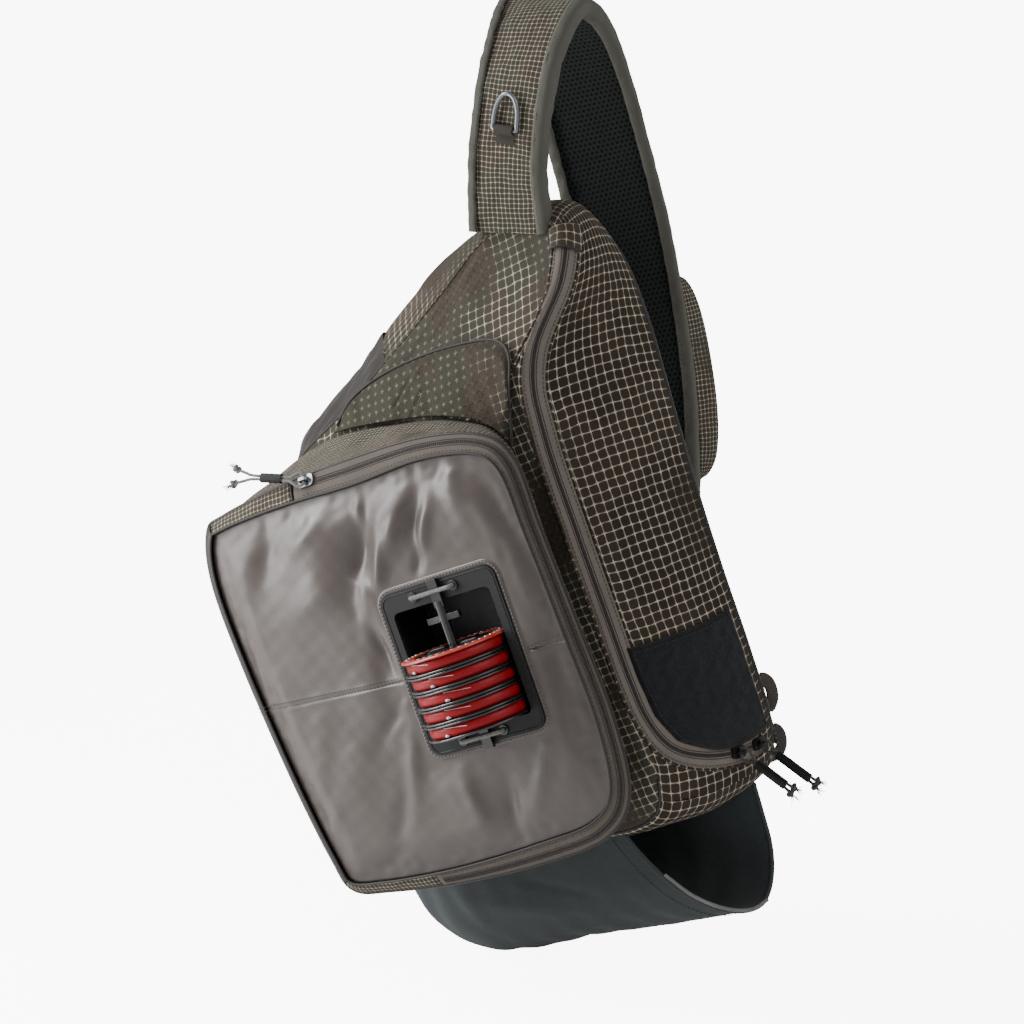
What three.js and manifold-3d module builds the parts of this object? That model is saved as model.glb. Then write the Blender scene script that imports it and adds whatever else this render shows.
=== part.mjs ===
// A sling bag for fishing tackle, hanging by its shoulder strap.
// Millimetres. The bag is modelled upright in its own frame: X to the right seen from the front,
// Y backwards to the wearer, Z up, with Z = 0 at the bottom seam. The last lines turn it to the
// slant at which it hangs and put the origin under the top of the strap, where a hook holds it.
import * as THREE from 'three';
import { mergeVertices } from 'three/addons/utils/BufferGeometryUtils.js';
import Module from 'manifold-3d';

const wasm = await Module();
wasm.setup();

// main bag
const bagWidth = 276;
const bagHeight = 402;
const bodyDepth = 105;
const apexTaper = 0.55; // share of the depth that the bag loses towards its apex
const clothWall = 2;
const gap = 0.3; // clearance between neighbouring pieces
const hangTilt = 18.5; // degrees

// front pocket
const pocketDepth = 56;
const tapeSlope = 7; // how far the tape leans forward to the face panel
const faceInset = 8; // width of the tape between gusset and face panel
const faceDome = 7;

// upper flat pocket and back pad
const upperPocketThickness = 5;
const backPadThickness = 9;
const backPadInset = 6;

// main zip and side door
const zipTapeWidth = 17;
const zipTapeThickness = 1.4;
const fleeceTop = 120.1; // height of the fleece patch over the bottom seam
const fleeceThickness = 2.4;

// dock for the line spools
const dockWidth = 88;
const dockHeight = 108;
const dockThickness = 1.8;
const dockCorner = 8;
const dockX = 31;
const dockZ = 145;
const dockTurn = 3.5; // degrees, anticlockwise seen from the front
const windowSide = 7; // margins of the window inside the dock
const windowTop = 13;
const windowBottom = 11;
const windowCorner = 4;
const recessDepth = 38;
const recessWall = 1.5;
const spoolRadius = 35;
const spoolCount = 5;
const spoolPitch = 10.7;
const flangeThickness = 1.6;
const bandRadius = 32.6;
const hubRadius = 25;
const barRadius = 3.2;
const barTab = 3; // thickness of the bar's flat ends
const barTabWidth = 7;
const barOverhang = 14; // how far the bar runs past the window at each end
const crossWidth = 24;
const crossAbove = 16; // cross piece over the top spool
const dockCordRadius = 1.5;
const dockCordSpan = 31;
const dockCordX = -2.5;
const eyeletRadius = 3.4;

// bottle sleeve
const bottleRadius = 39;
const sleeveWall = 1.8;
const sleeveY = -57;
const sleeveZ = -31;
const sleeveTop = 6; // the sleeve runs up to here and ends at the bag's bottom
const sleeveLeft = 122;
const sleeveEnd = 62; // length over which its left end rounds in
const mouthFront = 60;
const mouthBack = 122;
const sleeveCordRadius = 1.3;

// strap
const strapWidth = 60;
const strapThickness = 6;
const strapLining = 2;
const strapEase = 1.1; // room for the twist of the strap between its core and the binding
const strapRise = 131; // height of the loop over the top of the bag
const strapReach = 78; // how far the loop stands behind the back
const bindingWidth = 7.5;
const bindingThickness = 1.2;
const strapPocketDepth = 24;
const strapPocketOver = 9;
const buckleLength = 22;
const buckleWidth = 42;
const buckleThickness = 5;
const webWidth = 25;
const webThickness = 2;
const webLead = 0.25; // how far the webbing runs on straight at each end, as a share of its way
const ringRow = 1.72; // where the ring hangs on the strap, in rows of strapRoute
const ringWire = 1.6;
const ringWidth = 17.5;
const ringHeight = 23;
const keeperWidth = 13.4;
const keeperWall = 1.2;
const keeperTail = 9;

// zip sliders and pulls
const sliderLength = 12;
const sliderWidth = 8;
const sliderBase = 2;
const bridgeHeight = 6.4;
const bridgeWidth = 2.2;
const pullCordRadius = 1;
const pullCordApart = 1.2; // half the distance between the two strands
const pullTubeWall = 0.6;

// outline of the bag: where the back edge and the front edge run, clockwise from the bottom left,
// as shares of bagWidth and bagHeight
const bodyOutline = table(['backX', 'backZ', 'frontX', 'frontZ'], [
  [-0.384, 0.010, -0.355, 0.015],
  [-0.435, 0.065, -0.406, 0.075],
  [-0.457, 0.224, -0.428, 0.229],
  [-0.471, 0.448, -0.435, 0.448],
  [-0.486, 0.634, -0.428, 0.634],
  [-0.476, 0.752, -0.355, 0.721],
  [-0.348, 0.828, -0.210, 0.779],
  [-0.168, 0.910, -0.051, 0.858],
  [0.010, 0.975, 0.094, 0.935],
  [0.174, 1.000, 0.203, 0.988],
  [0.304, 1.007, 0.319, 0.998],
  [0.406, 0.985, 0.409, 0.973],
  [0.467, 0.900, 0.406, 0.891],
  [0.486, 0.791, 0.333, 0.791],
  [0.486, 0.652, 0.315, 0.652],
  [0.486, 0.498, 0.326, 0.498],
  [0.493, 0.348, 0.341, 0.348],
  [0.504, 0.211, 0.355, 0.211],
  [0.504, 0.085, 0.366, 0.085],
  [0.449, 0.015, 0.319, 0.015],
  [0.217, 0.000, 0.145, 0.000],
  [-0.145, 0.000, -0.145, 0.000],
]);
// section of the bag from the middle of the back round the edge to the middle of the front:
// across 0 is on the back edge and 1 on the front edge, inset is the way to the middle
const bodyProfile = table(['across', 'inset', 'depth'], [
  [0.00, 1.000, 0.000],
  [0.00, 0.500, 0.000],
  [0.00, 0.070, 0.000],
  [0.00, 0.014, 0.020],
  [0.03, -0.008, 0.080],
  [0.25, -0.030, 0.300],
  [0.52, -0.034, 0.560],
  [0.80, -0.022, 0.800],
  [0.97, 0.000, 0.930],
  [1.00, 0.045, 0.990],
  [1.00, 0.150, 1.000],
  [1.00, 0.550, 1.000],
  [1.00, 1.000, 1.000],
]);
const bodyMiddle = { x: 0.02, z: 0.52 };
const wallBack = 4; // rows of bodyProfile between which the side wall lies
const wallFront = 8;

// line of the main zip down the right side: row of bodyOutline, and share of the way to the front
const zipPath = table(['row', 'across'], [
  [11.15, 0.90],
  [11.7, 1.00],
  [12.5, 1.00],
  [13.3, 1.00],
  [14.2, 1.00],
  [15.1, 1.00],
  [16.0, 1.00],
  [16.7, 1.00],
  [17.2, 0.96],
  [17.55, 0.84],
  [17.8, 0.62],
  [17.95, 0.38],
  [18.02, 0.14],
]);

// outline of the front pocket: seam on the bag, and front edge of its gusset; tape is the width of the
// strip between that edge and the face panel, as a share of faceInset
const pocketOutline = table(['backX', 'backZ', 'frontX', 'frontZ', 'tape'], [
  [-0.362, 0.030, -0.398, 0.025, 1.0],
  [-0.391, 0.090, -0.434, 0.085, 1.0],
  [-0.413, 0.249, -0.478, 0.229, 1.0],
  [-0.428, 0.448, -0.520, 0.425, 1.0],
  [-0.431, 0.597, -0.535, 0.570, 1.0],
  [-0.422, 0.685, -0.506, 0.654, 1.0],
  [-0.378, 0.716, -0.446, 0.674, 1.0],
  [-0.217, 0.744, -0.254, 0.697, 1.5],
  [-0.036, 0.739, -0.058, 0.709, 1.9],
  [0.120, 0.721, 0.145, 0.712, 1.5],
  [0.217, 0.687, 0.300, 0.692, 1.3],
  [0.254, 0.622, 0.366, 0.642, 1.2],
  [0.268, 0.510, 0.380, 0.535, 1.0],
  [0.283, 0.373, 0.402, 0.388, 1.0],
  [0.304, 0.211, 0.424, 0.219, 1.0],
  [0.297, 0.090, 0.409, 0.100, 1.2],
  [0.217, 0.035, 0.326, 0.040, 1.5],
  [0.072, 0.022, 0.163, 0.017, 1.6],
  [-0.145, 0.020, -0.072, 0.007, 1.3],
  [-0.290, 0.022, -0.290, 0.012, 1.0],
]);
const pocketMiddle = { x: -0.045, z: 0.355 };
const tapeRows = { from: 7.15, to: 18.3 }; // rows of pocketOutline that the front zip runs between

// soft folds of the face panel: middle, direction in degrees from X, half length, half width, height,
// as shares of bagWidth for lengths across and of faceDome for the height
const faceFolds = table(['x', 'z', 'turn', 'length', 'width', 'height'], [
  [-0.075, 0.560, 62, 0.110, 0.045, -0.75],
  [0.020, 0.610, 55, 0.120, 0.040, 0.55],
  [0.095, 0.610, 68, 0.090, 0.030, -0.45],
  [-0.095, 0.400, 98, 0.120, 0.040, -0.60],
  [-0.200, 0.560, 60, 0.130, 0.055, 0.45],
  [-0.330, 0.600, 72, 0.090, 0.040, -0.45],
  [0.000, 0.150, 105, 0.110, 0.050, 0.45],
  [0.120, 0.130, 80, 0.080, 0.040, -0.45],
  [-0.250, 0.230, 60, 0.150, 0.060, 0.35],
]);

// arch of the upper pocket: left, over the top, to the right
const upperArch = table(['x', 'z'], [
  [-0.205, 0.762],
  [-0.160, 0.797],
  [-0.080, 0.820],
  [0.030, 0.832],
  [0.140, 0.834],
  [0.245, 0.825],
  [0.288, 0.795],
  [0.282, 0.735],
  [0.268, 0.690],
]);

// route of the strap from the top of the bag over the hook and down behind the back: across in
// bagWidth, back in strapReach, height as shares of the bag's height and of the rise; width in
// strapWidth; lean and yaw turn the strap's flat direction, in degrees
const strapRoute = table(['x', 'y', 'bag', 'rise', 'width', 'lean', 'yaw'], [
  [0.280, -0.58, 0.985, 0.000, 0.98, 0, 0],
  [0.322, -0.62, 1.000, 0.240, 0.92, -2, 0],
  [0.372, -0.60, 1.000, 0.500, 0.92, -6, 0],
  [0.418, -0.48, 1.000, 0.740, 0.96, -10, 0],
  [0.446, -0.20, 1.000, 0.930, 1.02, -15, 2],
  [0.434, 0.16, 1.000, 0.985, 1.06, -18, 6],
  [0.415, 0.48, 1.000, 0.860, 1.09, -18, 12],
  [0.385, 0.72, 1.000, 0.600, 1.12, -16, 18],
  [0.358, 0.88, 1.000, 0.240, 1.14, -14, 20],
  [0.339, 0.97, 0.945, 0.000, 1.14, -13, 20],
  [0.318, 1.00, 0.800, 0.000, 1.10, -12, 18],
  [0.300, 0.98, 0.660, 0.000, 1.02, -12, 12],
  [0.272, 0.90, 0.520, 0.000, 0.92, -12, 6],
  [0.255, 0.76, 0.410, 0.000, 0.80, -12, 0],
]);
const strapPocketRows = { from: 9.7, to: 12.1 };
// section of the strap's pocket: across as a share of the half width, overhang and height as shares
const strapPocketSection = table(['side', 'over', 'height'], [
  [-1.00, 0.0, 0.00],
  [-0.96, 0.0, 0.75],
  [-0.60, 0.0, 1.00],
  [0.00, 0.2, 1.00],
  [0.62, 0.6, 1.00],
  [1.00, 1.0, 0.78],
  [1.00, 0.0, 0.00],
]);

// corners of the wing: where it is sewn to the bag, low and high, and its tip, low and high
const wing = {
  seamLow: { x: 0.500, y: 2, z: 0.050 },
  seamHigh: { x: 0.496, y: 2, z: 0.190 },
  tipLow: { x: 0.378, y: 24, z: 0.200 },
  tipHigh: { x: 0.442, y: 20, z: 0.240 },
};
// small loops of webbing at the lower right edge: x and z as shares of the bag, y in millimetres
const webLoopRoute = table(['x', 'y', 'z'], [
  [0.480, 4, 0.163], [0.490, 11, 0.161], [0.496, 16, 0.148], [0.494, 17, 0.126], [0.486, 12, 0.113], [0.480, 4, 0.110],
]);
const cornerLoopRoute = table(['x', 'y', 'z'], [
  [0.484, 4, 0.078], [0.488, 9, 0.076], [0.492, 13, 0.064], [0.488, 14, 0.046], [0.478, 10, 0.034], [0.464, 4, 0.030],
]);

// small helpers
function table(names, rows) {
  return rows.map((row) => Object.fromEntries(row.map((value, i) => [names[i], value])));
}

function vec(x, y, z) {
  return new THREE.Vector3(x, y, z);
}

const mix = THREE.MathUtils.lerp;
const turned = THREE.MathUtils.degToRad;

function steps(count) {
  return Array.from({ length: count }, (_, i) => i);
}

// a row between the rows of a table, on a smooth curve through them
function rowAt(rows, place, closed) {
  const n = rows.length;
  const base = Math.min(Math.floor(place), closed ? Infinity : n - 2);
  const t = place - base;
  const pick = (k) => rows[closed ? (k + 2 * n) % n : Math.min(Math.max(k, 0), n - 1)];
  const [a, b, c, d] = [-1, 0, 1, 2].map((k) => pick(base + k));
  return Object.fromEntries(Object.keys(b).map((key) => {
    const bend = (2 * a[key] - 5 * b[key] + 4 * c[key] - d[key]) * t * t;
    const twist = (3 * b[key] - a[key] - 3 * c[key] + d[key]) * t * t * t;
    return [key, 0.5 * (2 * b[key] + (c[key] - a[key]) * t + bend + twist)];
  }));
}

// one closed solid from points and triangles, with its faces turned outwards
function solidFrom(points, faces) {
  let volume = 0;
  for (const [a, b, c] of faces) {
    volume += points[a].dot(points[b].clone().cross(points[c]));
  }
  const turn = volume < 0 ? ([a, b, c]) => [a, c, b] : (face) => face;
  const geometry = new THREE.BufferGeometry();
  geometry.setAttribute('position', new THREE.Float32BufferAttribute(points.flatMap((p) => p.toArray()), 3));
  geometry.setIndex(faces.flatMap(turn));
  return geometry;
}

// triangles of a flat outline, running the way that the outline runs
function flatFaces(outline) {
  const area = THREE.ShapeUtils.area(outline);
  return THREE.ShapeUtils.triangulateShape(outline, []).map(([i, j, k]) => {
    const same = THREE.ShapeUtils.area([outline[i], outline[j], outline[k]]) * area > 0;
    return same ? [i, j, k] : [i, k, j];
  });
}

// closed solid through rings of points, with a point or a flat end at each side; a section that
// isn't convex gives its own flat outlines for the two ends
function loft(rings, startPoint, endPoint, startOutline, endOutline) {
  const n = rings[0].length;
  const middle = (ring) => ring.reduce((sum, p) => sum.add(p), vec(0, 0, 0)).divideScalar(n);
  const points = rings.flat();
  const last = (rings.length - 1) * n;
  const faces = [];
  for (const i of steps(n)) {
    const j = (i + 1) % n;
    for (const r of steps(rings.length - 1)) {
      const [a, b] = [r * n, (r + 1) * n];
      faces.push([a + i, a + j, b + j], [a + i, b + j, b + i]);
    }
  }
  if (startOutline) {
    faces.push(...flatFaces(startOutline).map(([i, j, k]) => [i, k, j]));
    faces.push(...flatFaces(endOutline).map((face) => face.map((k) => k + last)));
    return solidFrom(points, faces);
  }
  const start = points.push(startPoint ?? middle(rings[0])) - 1;
  const end = points.push(endPoint ?? middle(rings.at(-1))) - 1;
  for (const i of steps(n)) {
    const j = (i + 1) % n;
    faces.push([start, j, i], [end, last + i, last + j]);
  }
  return solidFrom(points, faces);
}

// closed solid between an outer and an inner sheet of points, both worked out over the same grid
function slab(across, along, outerAt, innerAt) {
  const count = (across + 1) * (along + 1);
  const points = [];
  for (const at of [outerAt, innerAt]) {
    for (const i of steps(across + 1)) {
      for (const j of steps(along + 1)) {
        points.push(at(i / across, j / along));
      }
    }
  }
  const id = (i, j, side) => side * count + i * (along + 1) + j;
  const faces = [];
  const quad = (a, b, c, d) => faces.push([a, b, c], [a, c, d]);
  for (const i of steps(across)) {
    for (const j of steps(along)) {
      quad(id(i, j, 0), id(i + 1, j, 0), id(i + 1, j + 1, 0), id(i, j + 1, 0));
      quad(id(i, j, 1), id(i, j + 1, 1), id(i + 1, j + 1, 1), id(i + 1, j, 1));
    }
    quad(id(i, 0, 0), id(i, 0, 1), id(i + 1, 0, 1), id(i + 1, 0, 0));
    quad(id(i, along, 0), id(i + 1, along, 0), id(i + 1, along, 1), id(i, along, 1));
  }
  for (const j of steps(along)) {
    quad(id(0, j, 0), id(0, j + 1, 0), id(0, j + 1, 1), id(0, j, 1));
    quad(id(across, j, 0), id(across, j, 1), id(across, j + 1, 1), id(across, j + 1, 0));
  }
  return solidFrom(points, faces);
}

function toManifold(geometry) {
  const bare = geometry.clone();
  bare.deleteAttribute('normal');
  bare.deleteAttribute('uv');
  const merged = mergeVertices(bare, 1e-4);
  const vertProperties = new Float32Array(merged.attributes.position.array);
  return new wasm.Manifold(new wasm.Mesh({ numProp: 3, vertProperties, triVerts: new Uint32Array(merged.index.array) }));
}

function toGeometry(manifold) {
  const mesh = manifold.getMesh();
  const geometry = new THREE.BufferGeometry();
  geometry.setAttribute('position', new THREE.BufferAttribute(new Float32Array(mesh.vertProperties), 3));
  geometry.setIndex(new THREE.BufferAttribute(new Uint32Array(mesh.triVerts), 1));
  return geometry;
}

// what is left of a solid after others are taken from it, without loose crumbs
function cut(geometry, ...tools) {
  const rest = tools.reduce((whole, tool) => whole.subtract(tool), toManifold(geometry));
  return toGeometry(rest.decompose().sort((a, b) => b.volume() - a.volume())[0]);
}

// a round cord through points, with its sections at the points and evenly between them
function tube(points, radius, sides = 8, perPoint = 3) {
  const path = new THREE.CatmullRomCurve3(points, false, 'centripetal');
  path.getUtoTmapping = (share) => share;
  const section = new THREE.Shape(steps(sides).map((i) => {
    const angle = (i / sides) * 2 * Math.PI;
    return new THREE.Vector2(radius * Math.cos(angle), radius * Math.sin(angle));
  }));
  return new THREE.ExtrudeGeometry(section, { extrudePath: path, steps: (points.length - 1) * perPoint });
}

function roundedRectangle(width, height, corner, segments = 4) {
  const shape = new THREE.Shape();
  const corners = [[1, 1, 0], [-1, 1, 90], [-1, -1, 180], [1, -1, 270]];
  const points = corners.flatMap(([sx, sy, from]) => steps(segments + 1).map((k) => {
    const angle = turned(from + (90 * k) / segments);
    return new THREE.Vector2(
      sx * (width / 2 - corner) + corner * Math.cos(angle),
      sy * (height / 2 - corner) + corner * Math.sin(angle),
    );
  }));
  shape.setFromPoints(points);
  return shape;
}

// a plate drawn in X and Z, with its back face at y and its thickness running forwards
function plate(shape, thickness, y) {
  const geometry = new THREE.ExtrudeGeometry(shape, { depth: thickness, bevelEnabled: false, curveSegments: 5 });
  return geometry.rotateX(Math.PI / 2).translate(0, y, 0);
}

// the bag's own surface
function frontDepthAt(z) {
  const rise = THREE.MathUtils.smoothstep(z, 0.71 * bagHeight, bagHeight);
  return bodyDepth * (1 - apexTaper * rise);
}

function bodyPoint(row, ring) {
  const edge = rowAt(bodyOutline, row, true);
  const cross = rowAt(bodyProfile, ring, false);
  const x = mix(mix(edge.backX, edge.frontX, cross.across), bodyMiddle.x, cross.inset) * bagWidth;
  const z = mix(mix(edge.backZ, edge.frontZ, cross.across), bodyMiddle.z, cross.inset) * bagHeight;
  return vec(x, -cross.depth * frontDepthAt(z), z);
}

function bodyNormal(row, ring) {
  const step = 0.02;
  const along = bodyPoint(row + step, ring).sub(bodyPoint(row - step, ring));
  const round = bodyPoint(row, Math.min(ring + step, 12)).sub(bodyPoint(row, Math.max(ring - step, 0)));
  return round.cross(along).normalize();
}

function offBody(row, ring, distance) {
  return bodyPoint(row, ring).addScaledVector(bodyNormal(row, ring), distance);
}

// the outer form of the bag, grown or shrunk by a distance
function bodySolid(distance, perRow = 1.5) {
  const count = bodyOutline.length * perRow;
  const last = bodyProfile.length - 1;
  const rings = steps(last - 1).map((k) => steps(count).map((i) => offBody(i / perRow, k + 1, distance)));
  const middle = vec(bodyMiddle.x * bagWidth, 0, bodyMiddle.z * bagHeight);
  const back = middle.clone().setY(distance);
  const front = middle.clone().setY(-bodyDepth - distance);
  return loft(rings, back, front);
}

// walk over the bag's surface from a place in a direction, and give the new place
function walk(row, ring, direction, distance) {
  const step = 0.02;
  const parts = 4;
  for (const _ of steps(parts)) {
    const along = bodyPoint(row + step, ring).sub(bodyPoint(row - step, ring)).divideScalar(2 * step);
    const round = bodyPoint(row, ring + step).sub(bodyPoint(row, ring - step)).divideScalar(2 * step);
    const [aa, ab, bb] = [along.dot(along), along.dot(round), round.dot(round)];
    const [da, db] = [direction.dot(along), direction.dot(round)];
    const size = aa * bb - ab * ab;
    row += ((da * bb - db * ab) / size) * (distance / parts);
    ring += ((db * aa - da * ab) / size) * (distance / parts);
  }
  return [row, ring];
}

// place on the main zip: its row and ring, its run and the direction across it
function zipPlace(share) {
  const at = (t) => {
    const spot = rowAt(zipPath, Math.min(Math.max(t, 0), 1) * (zipPath.length - 1), false);
    return [spot.row, mix(wallBack, wallFront, spot.across)];
  };
  const [row, ring] = at(share);
  const step = 0.004;
  const run = bodyPoint(...at(share + step)).sub(bodyPoint(...at(share - step))).normalize();
  const out = bodyNormal(row, ring);
  const across = out.clone().cross(run).normalize();
  return { row, ring, run, out, across, point: bodyPoint(row, ring) };
}

// the tape of the main zip as a strip of the bag's surface, between two distances from it; grown makes
// it wider and short takes a share off each end
function zipStrip(grown, inner, outer, short = 0) {
  const at = (distance) => (u, v) => {
    const place = zipPlace(THREE.MathUtils.clamp(u, short, 1 - short));
    const side = 2 * v - 1;
    const point = offBody(...walk(place.row, place.ring, place.across, (side * zipTapeWidth) / 2), distance);
    return point.addScaledVector(place.across, side * grown);
  };
  return slab(28, 2, at(outer), at(inner));
}

// the side door between the zip and the back edge, as a thick piece of the bag's surface
function doorRegion(inner, outer, margin) {
  const first = zipPath[0].row;
  const last = zipPath.at(-1).row;
  const rowMargin = margin / (0.12 * bagHeight);
  const ringMargin = margin / (0.25 * bodyDepth);
  const at = (distance) => (u, v) => {
    const place = zipPlace(u);
    const row = mix(first + rowMargin, last - rowMargin, u);
    const back = wallBack + ringMargin;
    return offBody(mix(row, place.row + rowMargin * (1 - 2 * u), v), mix(back, place.ring, v), distance);
  };
  return slab(28, 4, at(outer), at(inner));
}

// the front pocket: a point on its gusset, from the seam on the bag to the front edge
const pocketBack = -(bodyDepth + gap);
const pocketFront = -(bodyDepth + pocketDepth);
const faceFront = pocketFront - tapeSlope;
const facePlane = faceFront - faceDome;

function pocketEdge(row, share) {
  const edge = rowAt(pocketOutline, row, true);
  return vec(
    mix(edge.backX, edge.frontX, share) * bagWidth,
    mix(pocketBack, pocketFront, share),
    mix(edge.backZ, edge.frontZ, share) * bagHeight,
  );
}

// the same point moved inwards in the X and Z plane
function pocketInset(row, share, distance) {
  const step = 0.05;
  const run = pocketEdge(row + step, share).sub(pocketEdge(row - step, share)).normalize();
  return pocketEdge(row, share).add(vec(run.z, 0, -run.x).multiplyScalar(distance));
}

function tapeWidthAt(row) {
  return faceInset * rowAt(pocketOutline, row, true).tape;
}

function pocketRing(share, distance, y, perRow = 2) {
  return steps(pocketOutline.length * perRow).map((i) => {
    const point = pocketInset(i / perRow, share, distance);
    return y === undefined ? point : point.setY(y);
  });
}

// height of the folds on the face panel over a place on it
function foldHeight(x, z) {
  return faceFolds.reduce((sum, fold) => {
    const [dx, dz] = [x - fold.x * bagWidth, z - fold.z * bagHeight];
    const [c, s] = [Math.cos(turned(fold.turn)), Math.sin(turned(fold.turn))];
    const along = (dx * c + dz * s) / (fold.length * bagWidth);
    const over = (dz * c - dx * s) / (fold.width * bagWidth);
    return sum + fold.height * faceDome * Math.exp(-along * along - over * over);
  }, 0);
}

// place and size of the dock, and how far a place on the face is from it
const dockMatrix = new THREE.Matrix4()
  .makeRotationY(-turned(dockTurn))
  .setPosition(dockX, 0, dockZ);

function besideDock(x, z) {
  const local = vec(x, 0, z).applyMatrix4(dockMatrix.clone().invert());
  const dx = Math.abs(local.x) - dockWidth / 2;
  const dz = Math.abs(local.z) - dockHeight / 2;
  return Math.max(dx, dz);
}

// forward bulge of the face panel: rises from its edge, flat round the dock, with soft folds elsewhere
function facePoint(row, share, distance) {
  const edge = pocketInset(row, 1, tapeWidthAt(row) + 2 * gap);
  const x = mix(edge.x, pocketMiddle.x * bagWidth, share);
  const z = mix(edge.z, pocketMiddle.z * bagHeight, share);
  const rise = THREE.MathUtils.smoothstep(share, 0, 0.2);
  const clear = THREE.MathUtils.smoothstep(besideDock(x, z), 3, 24);
  const y = faceFront - faceDome * rise - foldHeight(x, z) * rise * clear;
  return vec(x, y - distance, z);
}

// the strap at a place on its route: middle, direction along it, direction across it and out of its loop
function strapFrame(place) {
  const at = (t) => rowAt(strapRoute, THREE.MathUtils.clamp(t, 0, strapRoute.length - 1), false);
  const pointAt = (row) => vec(row.x * bagWidth, row.y * strapReach, row.bag * bagHeight + row.rise * strapRise);
  const row = at(place);
  const run = pointAt(at(place + 0.05)).sub(pointAt(at(place - 0.05))).normalize();
  const [lean, yaw] = [turned(row.lean), turned(row.yaw)];
  const flat = vec(Math.cos(lean) * Math.cos(yaw), Math.sin(yaw), Math.sin(lean) * Math.cos(yaw));
  const out = flat.cross(run).normalize();
  const across = run.clone().cross(out).normalize();
  return { point: pointAt(row), run, across, out, width: row.width * strapWidth };
}

// a closed solid carried along the strap: the section gives places across and away from its middle
function alongStrap(from, to, count, section) {
  const frames = steps(count + 1).map((k) => strapFrame(mix(from, to, k / count)));
  const rings = frames.map((frame) => section(frame).map(([across, out]) => (
    frame.point.clone().addScaledVector(frame.across, across).addScaledVector(frame.out, out)
  )));
  const outline = (frame) => section(frame).map(([across, out]) => new THREE.Vector2(across, out));
  return loft(rings, undefined, undefined, outline(frames[0]), outline(frames.at(-1)));
}

function boxSection(half, low, high, soften = 0) {
  if (!soften) {
    return [[-half, low], [half, low], [half, high], [-half, high]];
  }
  const s = soften;
  return [
    [-half, low + s], [-half + s, low], [half - s, low], [half, low + s],
    [half, high - s], [half - s, high], [-half + s, high], [-half, high - s],
  ];
}

// materials
function finish(colour, roughness, metalness = 0) {
  return new THREE.MeshStandardMaterial({ color: colour, roughness, metalness });
}
const ripstop = finish(0x4b423a, 0.85);
const coated = finish(0x6d6460, 0.45);
const darkCoated = finish(0x3a3634, 0.5);
const twill = finish(0x6f665f, 0.8);
const fleece = finish(0x33373b, 0.95);
const meshCloth = finish(0x1f2523, 0.9);
const binding = finish(0x5d5a51, 0.8);
const rubber = finish(0x1d1f20, 0.5);
const blackPlastic = finish(0x131415, 0.25);
const redBand = finish(0xb5161f, 0.35);
const greyCord = finish(0x9b9a98, 0.7);
const stretch = finish(0x43494d, 0.75);
const metal = finish(0x7d8288, 0.35, 0.8);

const bag = new THREE.Group();

function add(name, geometry, material, parent = bag) {
  const mesh = new THREE.Mesh(geometry, material);
  mesh.name = name;
  parent.add(mesh);
  return mesh;
}

// main body: a hollow cloth shell, open at the side door, with the door and its zip tape in the opening
const bodyOuter = toManifold(bodySolid(0));
const bodyClear = toManifold(bodySolid(gap));
const shell = bodyOuter.subtract(toManifold(bodySolid(-clothWall)));
const tapeCut = toManifold(zipStrip(gap, -3 * clothWall, 3 * clothWall));
const doorCut = toManifold(doorRegion(-3 * clothWall, 3 * clothWall, 0));
const doorKept = toManifold(doorRegion(-3 * clothWall, 3 * clothWall, gap));
add('main_body', toGeometry(shell.subtract(doorCut).subtract(tapeCut)), ripstop);
add('side_panel', toGeometry(shell.intersect(doorKept).subtract(tapeCut)), ripstop);
add('main_zip_tape', zipStrip(0, -zipTapeThickness / 2, zipTapeThickness / 2, 0.004), twill);

// fleece patch over the foot of the side panel
function fleecePatch() {
  const first = rowAtHeight(fleeceTop);
  const last = zipPath.at(-1).row - 0.12;
  const zipMargin = zipTapeWidth / 2 + 2;
  const at = (distance) => (u, v) => {
    const row = mix(first, last, u);
    const reach = Math.max(0.12, zipAcrossAt(row) - zipMargin / bodyDepth);
    return offBody(row, mix(wallBack + 0.15, mix(wallBack, wallFront, reach), v), distance);
  };
  const besideTape = toManifold(zipStrip(3 * gap, -4 * clothWall, 4 * clothWall));
  return cut(slab(8, 4, at(gap + fleeceThickness), at(-clothWall)), bodyClear, besideTape);
}

// row of the bag's right edge at a height on it
function rowAtHeight(z) {
  let [above, below] = [15, 17.6];
  for (const _ of steps(24)) {
    const middle = (above + below) / 2;
    if (rowAt(bodyOutline, middle, true).frontZ * bagHeight > z) {
      above = middle;
    } else {
      below = middle;
    }
  }
  return above;
}

// share of the way to the front at which the zip crosses a row
function zipAcrossAt(row) {
  const hit = steps(zipPath.length - 1).find((k) => zipPath[k + 1].row >= row) ?? zipPath.length - 2;
  const [a, b] = [zipPath[hit], zipPath[hit + 1]];
  return mix(a.across, b.across, (row - a.row) / (b.row - a.row));
}
add('fleece_patch', fleecePatch(), fleece);

// padded back
function backPad(grown = 0) {
  const layers = table(['inset', 'depth'], [[3, 0], [0, 0.35], [1, 0.75], [6, 1]]);
  const rings = layers.map((layer) => steps(33).map((i) => {
    const edge = bodyPoint(i / 1.5, 3);
    const inward = vec(bodyMiddle.x * bagWidth - edge.x, 0, bodyMiddle.z * bagHeight - edge.z).normalize();
    edge.addScaledVector(inward, backPadInset + layer.inset - grown);
    return edge.setY(gap + layer.depth * (backPadThickness + grown));
  }));
  return loft(rings);
}
const pad = backPad();
const padClear = toManifold(backPad(gap));
add('back_panel', pad, meshCloth);

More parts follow.
